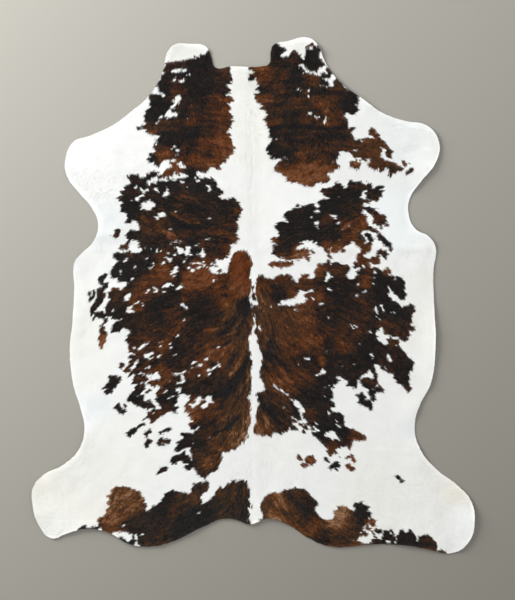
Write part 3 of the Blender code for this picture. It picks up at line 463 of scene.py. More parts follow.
TONES = (
    # x, y, reach, tone from 0 black to 10 rust
    (205, 60, 12, 0), (190, 76, 10, 0), (182, 64, 3.5, 4.5), (180, 87, 6, 4.5), (158, 85, 8, 0),
    (154, 112, 8, 0), (156, 99, 6, 1.5), (212, 78, 8, 1.2), (227, 71, 4, 4.5), (221, 88, 7, 2.2),
    (200, 93, 10, .8), (215, 104, 6, 5.5), (226, 105, 5, 7.8), (226, 114, 6, 6.6), (196, 109, 4, 4.2),
    (205, 112, 6, 2.4), (184, 113, 5, 1), (209, 118, 5, 4.6), (214, 125, 4, 2), (222, 121, 5, 5.8),
    (190, 121, 5, 4.4), (176, 126, 5, 3.8), (200, 127, 6, 1.8), (206, 131, 4, 2.8), (178, 138, 8, .8),
    (192, 139, 6, 1), (161, 140, 6, .8), (163, 125, 4, 4.8), (153, 130, 5, 6), (212, 135, 5, 4.2),
    (221, 136, 5, 6.8), (228, 146, 7, 8.2), (216, 148, 6, 7), (203, 146, 6, 4.5), (186, 148, 4, 3.8),
    (186, 153, 2.2, 1), (195, 160, 6, 6.2), (204, 166, 5, 6.6), (217, 160, 6, 7.2), (208.8, 153.5, 3.2, .8),
    (186, 162, 5, 6), (164, 155, 5, 6.2), (158, 150, 4, 5), (190, 172, 5, 1), (166, 174, 5, 8),
    (178, 169, 5, 8), (212, 166, 5, 6.8), (151, 158, 4, 0), (200, 184, 12, 0), (168, 184, 10, 0),
    (135, 178, 8, 1), (131, 192, 9, 1.5), (128, 206, 8, 0), (150, 192, 7, 2), (182, 195, 8, 4),
    (216, 195, 9, .5), (236, 208, 8, 2), (200, 207, 16, 1.5), (176, 213, 8, 3), (155, 222, 9, 3.6),
    (192, 222, 10, 1.8), (216, 226, 9, 3), (180, 235, 9, 3.6), (233, 235, 7, 5), (158, 240, 10, 2),
    (205, 240, 9, 3.2), (214, 252, 9, 2.5), (190, 246, 8, 1), (134, 234, 6, 1), (122, 246, 5, 4),
    (226, 210, 4, .3), (201, 232, 3.5, 6), (222, 232, 4, 5.5), (216, 226, 4, 5), (184, 196, 4, 5),
    (214, 205, 5, 3.5), (170, 206, 5, 1), (190, 210, 5, .8), (238, 212, 3.5, 5), (303, 341, 7, 8.3),
    (345, 348, 5, 8), (330, 342, 4, 1.5), (322, 361, 3, 8), (316, 293, 5, 7), (275, 290, 3.5, .2),
    (268, 290, 3, 5.5), (320, 281, 3.5, 1), (362, 302, 4, 4.8), (350, 330, 7, 4.8), (290, 347, 3, 2.5),
    (280, 278, 4, 6.5), (156, 226, 5, 5), (172, 236, 4, 6), (185, 238, 6, 5), (160, 231, 3, 5.5),
    (130, 254, 3, 6.5), (125, 246, 2.5, 6), (165, 347, 5, 7), (177, 345, 4, 1), (178, 354, 4, 1),
    (203, 362, 5, 8), (204, 374, 5, 8), (190, 374, 4, 7), (168, 373, 4, 7.5), (211, 364, 2.2, .5),
    (150, 345, 5, 3.5), (158, 352, 3.5, 6.5), (140, 365, 6, 2), (172, 386, 3.5, 1.5), (168, 407, 4, 4),
    (160, 414, 3.5, 7), (148, 404, 4, 3), (184, 299, 2.5, 7), (226, 301, 5, 8.3), (120, 268, 14, 0),
    (145, 262, 12, .5), (160, 256, 5, 7), (162, 272, 9, 8.5), (180, 261, 8, 1.5), (200, 278, 13, 8.5),
    (178, 277, 3, 0), (224, 285, 10, 6), (239, 262, 12, 9), (243, 283, 10, 8.5), (150, 285, 11, 7.5),
    (115, 293, 6, 8.5), (98, 295, 14, 1), (95, 312, 10, 1), (115, 305, 10, 1), (103, 329, 6, 4.5),
    (103, 341, 5, 8.5), (117, 327, 7, 0), (136, 304, 7, 6.5), (162, 299, 14, .5), (205, 302, 12, 1),
    (221, 298, 8, 6.5), (246, 306, 6, 1), (172, 311, 9, 4), (140, 325, 12, 2), (198, 318, 13, 1.8),
    (234, 318, 7, 4.5), (180, 324, 9, 5), (150, 335, 9, 5), (215, 332, 10, 3), (240, 338, 9, 5),
    (190, 355, 12, 2.5), (215, 352, 9, 7.5), (145, 350, 9, 5), (150, 365, 9, 3), (172, 360, 9, 1),
    (200, 368, 9, 6.5), (236, 365, 9, 5), (160, 379, 10, 7), (140, 380, 6, 2), (172, 395, 11, .5),
    (137, 400, 10, 1), (200, 386, 12, 2), (228, 386, 7, 1), (238, 402, 9, 5), (200, 402, 7, 6.5),
    (194, 411, 7, 8.5), (213, 412, 6, 6.5), (230, 416, 9, 4), (243, 415, 6, 7), (209, 422, 8, 1.5),
    (236, 436, 8, 7.5), (199, 437, 7, 2), (189, 440, 7, 0), (216, 446, 9, 5), (204, 450, 9, 3),
    (208, 463, 7, 6.5), (216, 464, 4, 2), (205, 472, 6, 4), (176, 456, 10, .5), (188, 460, 6, .5),
    (112, 382, 8, 1), (119, 408, 8, 1.5), (132, 430, 8, .5), (155, 415, 8, 4.5), (122, 366, 4, 6),
    (166, 431, 6, 3), (276, 49, 6, 0), (276, 60, 6, 2), (273, 54, 3, 3), (294, 54, 4, 4.2), (296, 61, 5, 2.6),
    (286, 59, 5, 1.8), (312, 57, 9, 0), (321.5, 64.5, 3, 5.2), (310, 45, 3, 5.2), (261, 72, 6, 7.6),
    (266, 76, 5, 6.6), (250.7, 77.7, 2.5, 0), (251, 68, 2, 1), (284, 75.4, 4, 6.6), (288, 75, 3, 5),
    (276, 71, 4, 2.2), (273, 81, 4, 3.2), (278, 80, 4, 3.4), (288, 81, 6, 1.2), (299, 74, 6, .6),
    (309, 76.6, 4, 4.6), (316, 82, 4, 6), (325, 81, 4, .8), (263, 91, 4, 1), (264, 85, 3, 4.6),
    (260, 97, 5, 8), (266.5, 99.5, 5, 7), (268, 107, 4, 4.8), (277, 91, 5, 3), (278, 102, 6, 2.6),
    (295, 93, 6, .8), (285, 86, 5, 1.2), (295, 102.3, 4.5, 5.4), (289, 107, 4, 3.4), (306, 106.6, 5, 1.2),
    (303.6, 98, 4, 4.4), (305, 110, 4, 6), (305, 116, 4, 5.4), (316.5, 101, 6, 6.6), (323.6, 105, 5, 6.6),
    (331, 103.7, 4, 5), (315, 92, 4, .8), (319.3, 110, 4, 1.4), (323.6, 95, 5, 1.8), (338, 92, 4, 3.8),
    (343.6, 95, 4, 2.6), (348, 101, 8, 0), (355, 95, 5, 0), (352, 111, 5, 1.2), (336, 109.4, 5, 3.4),
    (339, 116.6, 5, 6), (331, 123, 4, 5.4), (343.6, 122, 4, 2.6), (272, 121, 4, 5.4), (278, 121.5, 4, 4.8),
    (268, 117, 3, 4), (281, 112, 5, 3.4), (288, 118, 5, 2), (298, 120, 5, 1.8), (302, 123, 3, 4),
    (283.6, 126.6, 4, 3), (273.6, 133.7, 5, .6), (270.7, 151, 7, 0), (275.7, 146.6, 5, 0), (291, 135, 5, 1.8),
    (306.4, 135, 5, 4.4), (282, 141, 4, 3.8), (302, 141, 5, 3), (312, 138, 5, 2.6), (331, 138, 6, 2.2),
    (343.6, 134, 5, 3), (336, 144, 5, 2.6), (292, 147, 5, 1.4), (313.6, 148, 5, 3.2), (325, 148, 5, 2.6),
    (302, 156, 5, 5), (316, 156.6, 5, 4.4), (293.6, 159, 4, 1.5), (309, 160, 3.5, 2.6), (288, 155, 5, .5),
    (333.6, 155, 5, 1.8), (322, 163, 4, 5), (300, 170, 9, 9), (314, 176, 8, 9.6), (325, 169.4, 5, 8),
    (290.7, 174, 6, 9), (280.7, 166.6, 4, 7), (336.4, 166.6, 4, 6), (354, 145, 6, 4.6), (366, 144, 6, 6),
    (373.6, 149.4, 5, 5.6), (381, 144, 5, 5.6), (372, 131, 5, 6), (362, 155, 5, 6.4), (373.6, 165, 5, 5.6),
    (385, 164, 5, 5.8), (395, 168, 4, 4.2), (389, 154.4, 3, 4.2), (405.7, 163.7, 4, 5.8), (409, 172, 4, 3.6),
    (355, 165, 4, 6.4), (325, 191, 3, 3.2), (332.5, 189, 4, 2.2), (337.5, 185, 3, 1.8), (351, 185, 5, 2.8),
    (357.5, 184.4, 4, 2.8), (352, 194, 6, 0), (335, 196, 7, 0), (325, 205, 8, 0), (335, 206.3, 5, .4),
    (345, 203.8, 4, 1.5), (352.5, 202.5, 4, 2.8), (342.5, 207.5, 3, 4.6), (350, 206, 3, 4),
    (357.5, 205, 4, 3.6), (350, 212.5, 4, 1.2), (357.5, 213.8, 5, 3.2), (346, 216.3, 4, 1.2),
    (352.5, 220, 4, 3.2), (327.5, 217.5, 4, 3.8), (323.8, 225, 4, 3), (335, 225.5, 4, 1.2),
    (345, 223.8, 4, 7.8), (336.3, 230, 3, 4.6), (362.5, 223.8, 5, 7.2), (355, 225, 4, 5.2),
    (355, 232.5, 5, 7.8), (345, 236.3, 4, 5.6), (345, 242.5, 4, 4.4), (347.5, 231, 3, 1.2),
    (360.6, 236.3, 3, 1.2), (335, 235, 6, .2), (325, 231, 6, .8), (315, 235, 7, .3), (325, 244, 4, 7.2),
    (337.5, 247.5, 5, 8.6), (328.8, 255, 3, 7.2), (358.8, 243.8, 4, 6.8), (366.3, 247.5, 4, 7),
    (361.3, 257.5, 5, 6.6), (368.8, 261.3, 5, 6.3), (376.3, 260, 4, 6.6), (385, 253.8, 4, 3.6),
    (371.3, 198.8, 4, 2.8), (372.5, 193.8, 4, 2.6), (371.3, 190, 4, .8), (380, 187, 4, .8),
    (375, 211.3, 4, 3.2), (378, 215.6, 4, 4.6), (380, 222.5, 4, 3.6), (369.4, 208.8, 3, 1.2),
    (372.5, 228.8, 3, 2.8), (380, 237.5, 4, 3.2), (388.8, 245, 4, 1.2), (368.8, 236.3, 4, 0),
    (290, 212.5, 7, 0), (296.3, 217.5, 5, .6), (283.8, 228, 7, .2), (295, 227.5, 7, .1), (307.5, 222.5, 7, 0),
    (306.3, 232.5, 6, .3), (291.3, 235, 5, .6), (280, 235, 3, 1.8), (275, 239.4, 3, 7),
    (281.3, 242.5, 3, 3.6), (287.5, 246.3, 5, .3), (278.8, 248.8, 4, 3.2), (282.5, 252.5, 4, 6.2),
    (288.8, 251.3, 3, 3.8), (298.8, 254.4, 6, 8.6), (306.3, 252, 5, 8.4), (276.3, 263.8, 5, 7.6),
    (287.5, 262.5, 5, 8), (266, 284, 5, 5), (277, 291, 6, .5), (287, 281, 7, 5), (262, 298, 7, 6),
    (304, 283, 6, 5), (320, 272, 5, 8), (338, 270, 5, 4), (332, 284, 8, 1.5), (314, 292, 7, 5.5),
    (366, 282, 4, 7), (388, 272, 4, 7), (386, 286, 9, 0), (398, 288, 8, 0), (340, 299, 10, 1),
    (360, 302, 10, 3), (390, 312, 11, .5), (386, 324, 5, 5.5), (403, 330, 8, 3), (300, 315, 11, 6),
    (268, 316, 9, 6), (330, 314, 10, 2.5), (290, 330, 12, 5), (345, 325, 10, 3), (300, 342, 12, 7.5),
    (342, 347, 8, 6.5), (372, 350, 9, .5), (402, 352, 7, 3), (272, 356, 7, 3), (305, 362, 9, 1),
    (345, 362, 12, 1), (386, 362, 7, 3), (406, 368, 8, .5), (304, 376, 10, 5), (285, 384, 10, 7),
    (330, 386, 8, .5), (312, 398, 12, .5), (352, 382, 5, .5), (369, 382, 6, 3), (368, 400, 8, .5),
    (272, 402, 10, 2.5), (262, 426, 7, 6.5), (284, 424, 9, 2.5), (308, 415, 6, 5.5), (326, 424, 9, .5),
    (318, 436, 7, .5), (344, 434, 7, 0), (357, 435, 7, 7), (336, 450, 7, 7), (307, 461, 9, 8),
    (333, 464, 6, 0), (351, 462, 7, 8), (399, 478, 5, .5), (125, 500, 13, 8), (110, 522, 9, 8),
    (165, 500, 9, 0), (180, 501, 7, 3), (196, 498, 5, 5.5), (201, 488, 6, 3), (150, 520, 10, 1.5),
    (172, 512, 4, 5), (200, 513, 11, 0), (226, 504, 10, 3), (240, 515, 8, 1), (158, 535, 8, 3),
    (186, 532, 9, 0), (131, 525, 7, 1.5), (92, 529, 8, 0), (128, 541, 6, .5), (268, 500, 5, 5.5),
    (275, 495, 5, 7.8), (298, 495, 8, 3.2), (280, 510, 7, 7), (304, 507, 7, 1.5), (292, 520, 9, 5.8),
    (312, 529, 8, 6), (343, 511, 8, 10), (336, 525, 5, 9), (352, 526, 7, 6.5), (342, 540, 10, 4.5),
    (322, 538, 6, 1.5), (360, 508, 7, .5), (358, 521, 7, 0), (370, 524, 5, 8), (365, 536, 5, 6.5),
    (388, 537, 8, 1), (407, 539, 9, .5), (428, 542, 7, 3),
)
BANDS = (
    # a brindle band: how it changes the tone, then its run of (x, y, reach) points
    (-5, ((248, 357, 1.5), (244, 367, 3), (238, 377, 3.5), (230, 387, 3.5), (220, 394, 2.5), (206, 396, 2))),
    (-4, ((240, 348, 1), (235, 356, 1.8), (228, 363, 1.5))),
    (-3.5, ((246, 385, 1), (241, 395, 1.5), (234, 404, 2), (225, 411, 1.2))),
    (-4.5, ((241, 414, 1), (234, 421, 2), (226, 429, 2), (214, 434, 1.2))),
    (-3, ((246, 428, .8), (239, 436, 1), (232, 441, .8))),
    (-3, ((218, 451, .8), (203, 457, 1))),
    (-4, ((248, 300, 2), (247, 312, 1.8), (243, 322, 1.5), (236, 330, 1.2))),
    (-3, ((236, 320, 1.5), (228, 330, 1.8), (215, 337, 1.5))),
    (-3, ((232, 340, 1.2), (225, 344, 1), (212, 347, 1))),
    (-4, ((213, 364, 1.8), (218, 366, 1.2))),
    (2, ((249, 395, 1), (249, 415, 1.3), (245, 431, 1.8), (238, 441, 2), (228, 448, 1.5))),
    (2.5, ((247, 342, .8), (243, 356, 1.2), (236, 368, 2.2), (224, 381, 2))),
    (3, ((249, 368, .8), (247, 380, 1), (240, 392, 1))),
    (2.5, ((236, 398, .8), (228, 408, .8), (215, 414, .8))),
    (2.5, ((232, 343, .8), (226, 347, .8), (218, 349, .8))),
    (2.5, ((234, 333, .8), (222, 336, 1), (212, 338, .8))),
    (3, ((230, 326, .6), (220, 328, 1), (206, 330, .8))),
    (-4, ((262, 350, 1), (266, 355, 3), (270, 360, 1.5))),
    (-4, ((276, 356, 1), (282, 364, 2), (292, 374, 1.5))),
    (-3.5, ((262, 364, 1), (270, 373, 1.2), (276, 379, 1))),
    (-4, ((258, 394, 1), (262, 404, 2), (270, 413, 2.5), (280, 424, 2))),
    (3, ((263, 391, .8), (271, 399, 1), (280, 407, 1))),
    (3, ((262, 413, .8), (267, 421, 1), (276, 429, .8))),
    (2.5, ((265, 370, 1), (275, 377, 1), (284, 384, 1.5))),
    (4, ((172, 213, .8), (178, 217, 1.4), (186, 221, 1.2), (199, 223.5, 1))),
    (-4, ((166, 213, 1), (174, 220, 2), (184, 225, 2), (196, 226.5, 2), (209, 227, 1.2))),
    (3, ((158, 231, .8), (168, 231.5, 1.2), (175, 235, 1.5))),
    (-2.5, ((203, 235, 1), (214, 236.5, 1.2), (228, 240, 1.8))),
    (-2, ((168, 228, .8), (176, 232, 1.2))),
    (2, ((178, 194, 1), (190, 197, 1.5), (200, 203, 1.2), (210, 208, 1))),
    (-2.5, ((168, 201, 2), (182, 203, 1.5), (196, 207, 1.5), (208, 212, 1.5))),
    (-6, ((210.5, 288, .6), (213.5, 289, .5))),
    (-6, ((223, 287, .6), (225.5, 286.5, .7))),
    (-6, ((221.5, 294.5, .8), (227, 295, 1.2))),
    (-4, ((229.5, 276, 1), (226, 283, 1))),
)
FROM_SPINE = (0, 12, 30, 60, 100, 150, 230)  # pixels
LAY = (
    # row y, then the way the hair lies at each distance from the spine: the angle from straight down
    # the back, outward positive
    (40, (0, -60, -50, 0, 55, 65, 65)),
    (100, (0, -65, -55, -10, 60, 70, 70)),
    (160, (0, -55, -45, -10, 45, 60, 75)),
    (190, (0, -75, -75, -65, -60, -80, -100)),
    (205, (0, -80, -80, -85, -95, -115, -105)),
    (245, (0, -80, -80, -85, -95, -120, -115)),
    (252, (0, 80, 85, 85, 80, 60, 60)),
    (270, (0, 20, 40, 60, 60, 50, 45)),
    (300, (5, 10, 40, 65, 55, 40, 35)),
    (350, (5, 18, 42, 62, 62, 50, 42)),
    (400, (5, 18, 40, 58, 58, 52, 45)),
    (450, (5, 15, 40, 60, 58, 55, 50)),
    (500, (0, 15, 50, 60, 60, 60, 60)),
    (560, (0, 20, 50, 60, 60, 60, 60)),
)
STRIPES = (
    # the same for the brindle stripes, which run round the body
    (40, (80, 85, 90, 90, 90, 80, 70)),
    (170, (80, 85, 90, 90, 90, 80, 70)),
    (200, (85, 95, 95, 102, 108, 90, 70)),
    (222, (85, 92, 95, 108, 120, 100, 70)),
    (245, (80, 90, 96, 102, 104, 75, 60)),
    (275, (40, 50, 75, 85, 80, 65, 55)),
    (300, (15, 28, 55, 80, 80, 60, 48)),
    (350, (12, 24, 43, 64, 66, 56, 48)),
    (400, (10, 22, 40, 57, 60, 54, 48)),
    (450, (10, 28, 50, 70, 66, 58, 50)),
    (500, (5, 22, 50, 62, 64, 62, 60)),
    (560, (5, 22, 50, 62, 64, 62, 60)),
)
GOLDS_AND_SHEEN = (
    # x, y, reach, how golden the dark hair is or how grey its painted sheen, from 0 red to 10 golden
    (244, 325, 12, 7), (243, 360, 13, 7), (243, 395, 13, 8), (242, 425, 12, 9), (222, 352, 9, 4),
    (210, 460, 11, 6), (232, 440, 8, 8), (216, 400, 10, 4), (240, 262, 11, 0), (203, 280, 14, 1.5),
    (165, 272, 10, 2), (262, 315, 9, 8), (268, 340, 11, 7), (290, 330, 15, 5), (300, 346, 15, 2),
    (345, 345, 12, 3), (300, 380, 14, 3), (262, 426, 10, 6), (275, 405, 10, 5), (225, 145, 14, 2),
    (215, 110, 12, 1.5), (190, 160, 12, 2), (264, 80, 10, 3), (300, 105, 22, 3.5), (300, 140, 18, 3.5),
    (300, 174, 12, 2.5), (316, 176, 8, 2.5), (376, 150, 16, 4.5), (190, 215, 22, 3), (154, 130, 8, 5),
    (200, 92, 14, 2.5), (160, 225, 14, 4), (300, 254, 12, 4), (350, 240, 14, 3), (125, 498, 13, 8),
    (110, 522, 9, 5), (165, 512, 12, 6), (152, 525, 10, 7), (200, 505, 12, 8), (235, 505, 14, 8),
    (222, 515, 10, 8), (281, 508, 12, 6.5), (185, 528, 10, 8), (343, 511, 9, 10), (336, 525, 7, 8),
    (350, 530, 10, 6), (307, 527, 9, 4), (95, 300, 16, 4), (400, 300, 20, 4), (330, 395, 16, 4),
    (120, 262, 14, 5), (200, 185, 14, 6), (160, 385, 14, 3),
)
CREAMS = (
    # x, y, reach, how cream the white hair is, from 0 bluish to 10 yellow
    (45, 495, 20, 6.5), (58, 520, 18, 4), (98, 475, 20, 4.5), (85, 515, 20, 5), (120, 455, 20, 3.5),
    (78, 470, 16, 4.5), (455, 488, 14, 8), (436, 478, 14, 4), (385, 500, 24, 4.5), (420, 515, 18, 3),
    (460, 520, 14, 2.5), (400, 470, 18, 3.5), (243, 80, 10, 4.5), (250, 120, 12, 4.5), (257, 150, 12, 4),
    (256, 205, 10, 3), (80, 340, 14, 4), (78, 300, 12, 3.5), (88, 375, 11, 3), (424, 330, 14, 4.5),
    (428, 375, 10, 4), (426, 280, 10, 4), (416, 410, 12, 3), (430, 255, 9, 2.5), (185, 52, 10, 4),
    (300, 44, 10, 4), (285, 445, 16, 3), (401, 208, 13, 1), (406, 228, 12, 1), (102, 225, 12, 1),
    (95, 405, 9, 1), (412, 425, 9, 1), (300, 440, 10, 2.5), (85, 165, 20, 2), (400, 140, 16, 1.5),
    (250, 520, 8, 4),
)
FOLD_SHADE_RUNS = (
    # painted shade where a fold in the coat lies: runs of (x, y, reach) points
    ((268, 127, 0.8), (300, 126.5, 1.9), (322, 128, 1.9), (345, 127.5, 0.8)),
    ((166, 126, 0), (190, 127.5, 0.2), (212, 126, 0)),
)
TABLE_SCALE = 10  # what the tables write for a full tone, golden hair with its painted sheen, or cream
BAND_SCALE = 9  # the change in a band that takes black hair all the way to rust
GROUND_TONE = 3  # the values between the dabs of a table
GROUND_GOLD_AND_SHEEN = 2.5
GROUND_CREAM = 2
GROUND_WEIGHT = 0.02  # of the ground, where a dab's own weight is 1 at its middle
DAB_EDGE = 3  # reaches from its middle: where a dab ends
FIELD_EDGE = 4.0  # pixels: how far outside a patch its cover is still worked out
NO_RUN = 1e-9  # stands for the squared length of a run of one point
LAST_CELL = 1.001  # what keeps a place at a grid's far edge inside its last cell


def border_depth(starts, ends, x, y):
    """How far inside a closed border each place lies, and negative outside it."""
    nearest = np.full(x.shape, np.inf)
    inside = np.zeros(x.shape, bool)
    for (ax, ay), (bx, by) in zip(starts, ends):
        run_x, run_y = bx - ax, by - ay
        along = np.clip(((x - ax) * run_x + (y - ay) * run_y) / (run_x**2 + run_y**2), 0, 1)
        nearest = np.minimum(nearest, (x - ax - along * run_x)**2 + (y - ay - along * run_y)**2)
        if ay != by:
            inside ^= ((y < ay) != (y < by)) & (x < ax + (y - ay) / (by - ay) * run_x)
    return np.sqrt(nearest) * np.where(inside, 1, -1)


def outline_cover(outlines, x, y):
    """How many pixels inside the outlines each place lies, and negative outside them."""
    cover = np.full(x.shape, -FIELD_EDGE)
    for corners in outlines:
        (left, top), (right, bottom) = np.min(corners, axis=0), np.max(corners, axis=0)
        near = np.flatnonzero((x > left - FIELD_EDGE) & (x < right + FIELD_EDGE)
                              & (y > top - FIELD_EDGE) & (y < bottom + FIELD_EDGE))
        depth = border_depth(corners, corners[1:] + corners[:1], x[near], y[near])
        cover[near] = np.maximum(cover[near], depth)
    return cover


def stroke_cover(strokes, x, y):
    """How many pixels inside the strokes each place lies, and negative outside them."""
    cover = np.full(x.shape, -FIELD_EDGE)
    for stroke in strokes:
        across, down, reach = np.transpose(np.array(stroke, float))
        margin = reach.max() + FIELD_EDGE
        near = np.flatnonzero((x > across.min() - margin) & (x < across.max() + margin)
                              & (y > down.min() - margin) & (y < down.max() + margin))
        for (ax, ay, a_reach), (bx, by, b_reach) in zip(stroke, stroke[1:] or stroke):
            run_x, run_y = bx - ax, by - ay
            run = max(run_x**2 + run_y**2, NO_RUN)
            along = np.clip(((x[near] - ax) * run_x + (y[near] - ay) * run_y) / run, 0, 1)
            away = np.hypot(x[near] - ax - along * run_x, y[near] - ay - along * run_y)
            cover[near] = np.maximum(cover[near], a_reach + along * (b_reach - a_reach) - away)
    return cover


def pigment_cover(x, y):
    """How many pixels inside the dark patches each place lies, and negative on the white."""
    cover = np.full(x.shape, -FIELD_EDGE)
    for region, dark_outlines, dark_runs, white_outlines, white_runs in PATCHES:
        dark = np.maximum(outline_cover(dark_outlines, x, y), stroke_cover(dark_runs, x, y))
        white = np.maximum(outline_cover(white_outlines, x, y), stroke_cover(white_runs, x, y))
        cover = np.maximum(cover, np.minimum(dark + GROWN_PIXELS, CLOSED_PIXELS - white))
    return cover


def dab_blend(dabs, ground, x, y):
    """The dabs' values, each fading out round its middle, over a ground value."""
    weight = np.full(x.shape, GROUND_WEIGHT)
    total = weight * ground
    for across, down, reach, value in dabs:
        near = np.flatnonzero((abs(x - across) < DAB_EDGE * reach) & (abs(y - down) < DAB_EDGE * reach))
        share = np.exp(-((x[near] - across)**2 + (y[near] - down)**2) / reach**2)
        weight[near] += share
        total[near] += share * value
    return total / weight


def between_cells(grid, row, column):
    """A grid's value at a place between its rows and columns."""
    row = np.clip(row, 0, grid.shape[0] - LAST_CELL)
    column = np.clip(column, 0, grid.shape[1] - LAST_CELL)
    i, j = row.astype(int), column.astype(int)
    down, right = row - i, column - j
    above = grid[i, j] * (1 - right) + grid[i, j + 1] * right
    below = grid[i + 1, j] * (1 - right) + grid[i + 1, j + 1] * right
    return above * (1 - down) + below * down


def grid_value(grid, x, y):
    """The value at a place of the photo of a grid that covers all of it."""
    row = y * ((grid.shape[0] - 1) / PHOTO_HEIGHT)
    column = x * ((grid.shape[1] - 1) / PHOTO_WIDTH)
    return between_cells(grid, row, column)


def direction(table, x, y):
    """The way a table of angles points, as a step right and a step down the photo."""
    side = np.sign(x - PHOTO_SPINE_X)
    row = np.interp(y, [row for row, _ in table], np.arange(len(table)))
    column = np.interp(abs(x - PHOTO_SPINE_X), FROM_SPINE, np.arange(len(FROM_SPINE)))
    angle = np.radians(between_cells(np.array([turns for _, turns in table], float), row, column))
    return side * np.sin(angle), np.cos(angle)


SEED = 41
chance = np.random.default_rng(SEED)


def cloud(cell):
    """Smooth random hills and hollows, about one to a cell of that many pixels, of spread 1."""
    coarse = chance.standard_normal((int(PHOTO_HEIGHT / cell) + 2, int(PHOTO_WIDTH / cell) + 2))
    across, down = np.meshgrid(np.arange(PHOTO_WIDTH + 1.0), np.arange(PHOTO_HEIGHT + 1.0))
    fine = grid_value(coarse, across, down)
    return fine / fine.std()


def turned(x, y, angle):
    """A step right and down, turned clockwise as the photo shows it."""
    return x * np.cos(angle) - y * np.sin(angle), y * np.cos(angle) + x * np.sin(angle)


WAVER_CELL = 14  # pixels: how far apart streaks waver to one side and the other


def combed(table, cell, length, waver=0):
    """Random streaks of that length in pixels, drawn out along a table of angles, of spread 1."""
    columns, rows = int(PHOTO_WIDTH / cell) + 1, int(PHOTO_HEIGHT / cell) + 1
    speckle = chance.standard_normal((rows, columns))
    across, down = np.meshgrid(np.linspace(0, PHOTO_WIDTH, columns), np.linspace(0, PHOTO_HEIGHT, rows))
    turn = np.radians(waver) * grid_value(cloud(WAVER_CELL), across, down)
    step_x, step_y = turned(*direction(table, across, down), turn)
    streak = speckle.copy()
    for way in (1, -1):
        x, y = across.copy(), down.copy()
        for _ in range(int(length / cell / 2)):
            x, y = x + way * cell * grid_value(step_x, x, y), y + way * cell * grid_value(step_y, x, y)
            streak += grid_value(speckle, x, y)
    return (streak - streak.mean()) / streak.std()


RAGGED = combed(STRIPES, cell=1.0, length=3)
BRINDLE = combed(STRIPES, cell=1.2, length=12, waver=14)
SWEEP = combed(STRIPES, cell=2.4, length=20, waver=12)
MOTTLE = cloud(cell=4)
HAIRY = combed(LAY, cell=0.7, length=2)
TUFTED = combed(STRIPES, cell=1.7, length=5)
READ_ABOVE = 0.3  # pixels: how far above their true place the markings were read
GROWN_PIXELS = 0.80  # how far the dark hair reaches over the white round its patch
CLOSED_PIXELS = 0.5  # how far it closes over a white spot within it
TUFTED_PIXELS = 0.6  # how far tufts, single locks and hairs stray over a patch's edge
RAGGED_PIXELS = 0.45
HAIRY_PIXELS = 0.45
BLEND_PIXELS = 0.6  # over which dark hair gives way to white
BRINDLE_TONE = 0.12  # how far the streaks change the tone of the dark hair
SWEEP_TONE = 0.07
MOTTLE_TONE = 0.04
HAIRY_TONE = 0.10
MIXED_IN_BLACK = 0.45  # share of the streaks that shows in black hair, and what a tone adds
MIXED_BY_TONE = 2.2
BAND_BLUR = 1.6  # pixels over which a band fades out at its sides
BAND_STRAY = 0.5  # share of the strays at a patch's edge that a band's side has
# how far the painted shade along a fold darkens the hair's tone
FOLD_SHADE_TONE = 0.45


def mixed_share(tone):
    """How much hair of other tones is mixed in: less in black hair than in rust."""
    return np.clip(MIXED_IN_BLACK + MIXED_BY_TONE * tone, 0, 1)


def markings(x, y):
    """Share of dark hair, its tone from 0 black to 1 rust with painted shade along folds, and how cream or
    golden the hair is, with a painted grey sheen on dark hair.
    """
    y = y - READ_ABOVE
    stray = (TUFTED_PIXELS * grid_value(TUFTED, x, y) + RAGGED_PIXELS * grid_value(RAGGED, x, y)
             + HAIRY_PIXELS * grid_value(HAIRY, x, y))
    dark = np.clip(0.5 + (pigment_cover(x, y) + stray) / BLEND_PIXELS, 0, 1)
    tone = dab_blend(TONES, GROUND_TONE, x, y) / TABLE_SCALE
    mixed = mixed_share(tone)
    for streaks, strength in ((BRINDLE, BRINDLE_TONE), (SWEEP, SWEEP_TONE), (MOTTLE, MOTTLE_TONE),
                              (HAIRY, HAIRY_TONE)):
        tone += strength * mixed * grid_value(streaks, x, y)
    for change, run in BANDS:
        within = np.clip(0.5 + stroke_cover((run,), x, y) / BAND_BLUR + BAND_STRAY * stray, 0, 1)
        tone += change / BAND_SCALE * within
    # painted shade along the folds: the hair there is darker in tone
    tone -= FOLD_SHADE_TONE * np.clip(stroke_cover(FOLD_SHADE_RUNS, x, y) + 1, 0, 1)
    cream = dab_blend(CREAMS, GROUND_CREAM, x, y) / TABLE_SCALE
    gold_and_sheen = dab_blend(GOLDS_AND_SHEEN, GROUND_GOLD_AND_SHEEN, x, y) / TABLE_SCALE
    # on dark hair this is its golden hair and painted grey sheen, on white hair its cream
    yellow_or_sheen = cream + dark * (gold_and_sheen - cream)
    return dark, np.clip(tone, 0, 1), np.clip(yellow_or_sheen, 0, 1)


# The skin's sizes, in metres, and the shares of them that its creases, rim and ripples have.
SKIN_THICKNESS = 0.0024
SKIN_CELL = 0.0100
CREASES = (
    # start x, start y, end x, end y, depth of the trough, where a negative one is a ridge
    (-0.008, 0.960, -0.008, -0.960, 0.0009),     # spine
    (-0.380, 0.735, 0.780, 0.745, 0.0016),       # neck
    (-0.800, 0.690, -0.420, 0.685, 0.0012),      # left foreleg
    (-0.780, 0.050, 0.790, 0.040, 0.0011),       # shoulders
    (-0.800, -0.200, -0.640, -0.205, 0.0014),    # left belly
    (0.640, -0.300, 0.800, -0.295, 0.0014),      # right belly
    (-0.740, -0.680, 0.720, -0.690, 0.0013),     # waist
    (-0.940, -0.998, 0.640, -1.006, 0.0010),     # rump
    (-0.839, -0.760, -0.839, -1.030, 0.0013),    # left hind leg
    (0.810, -0.800, 0.810, -1.110, -0.0010),     # right hind leg
)
CREASE_HALF_WIDTH = 0.012
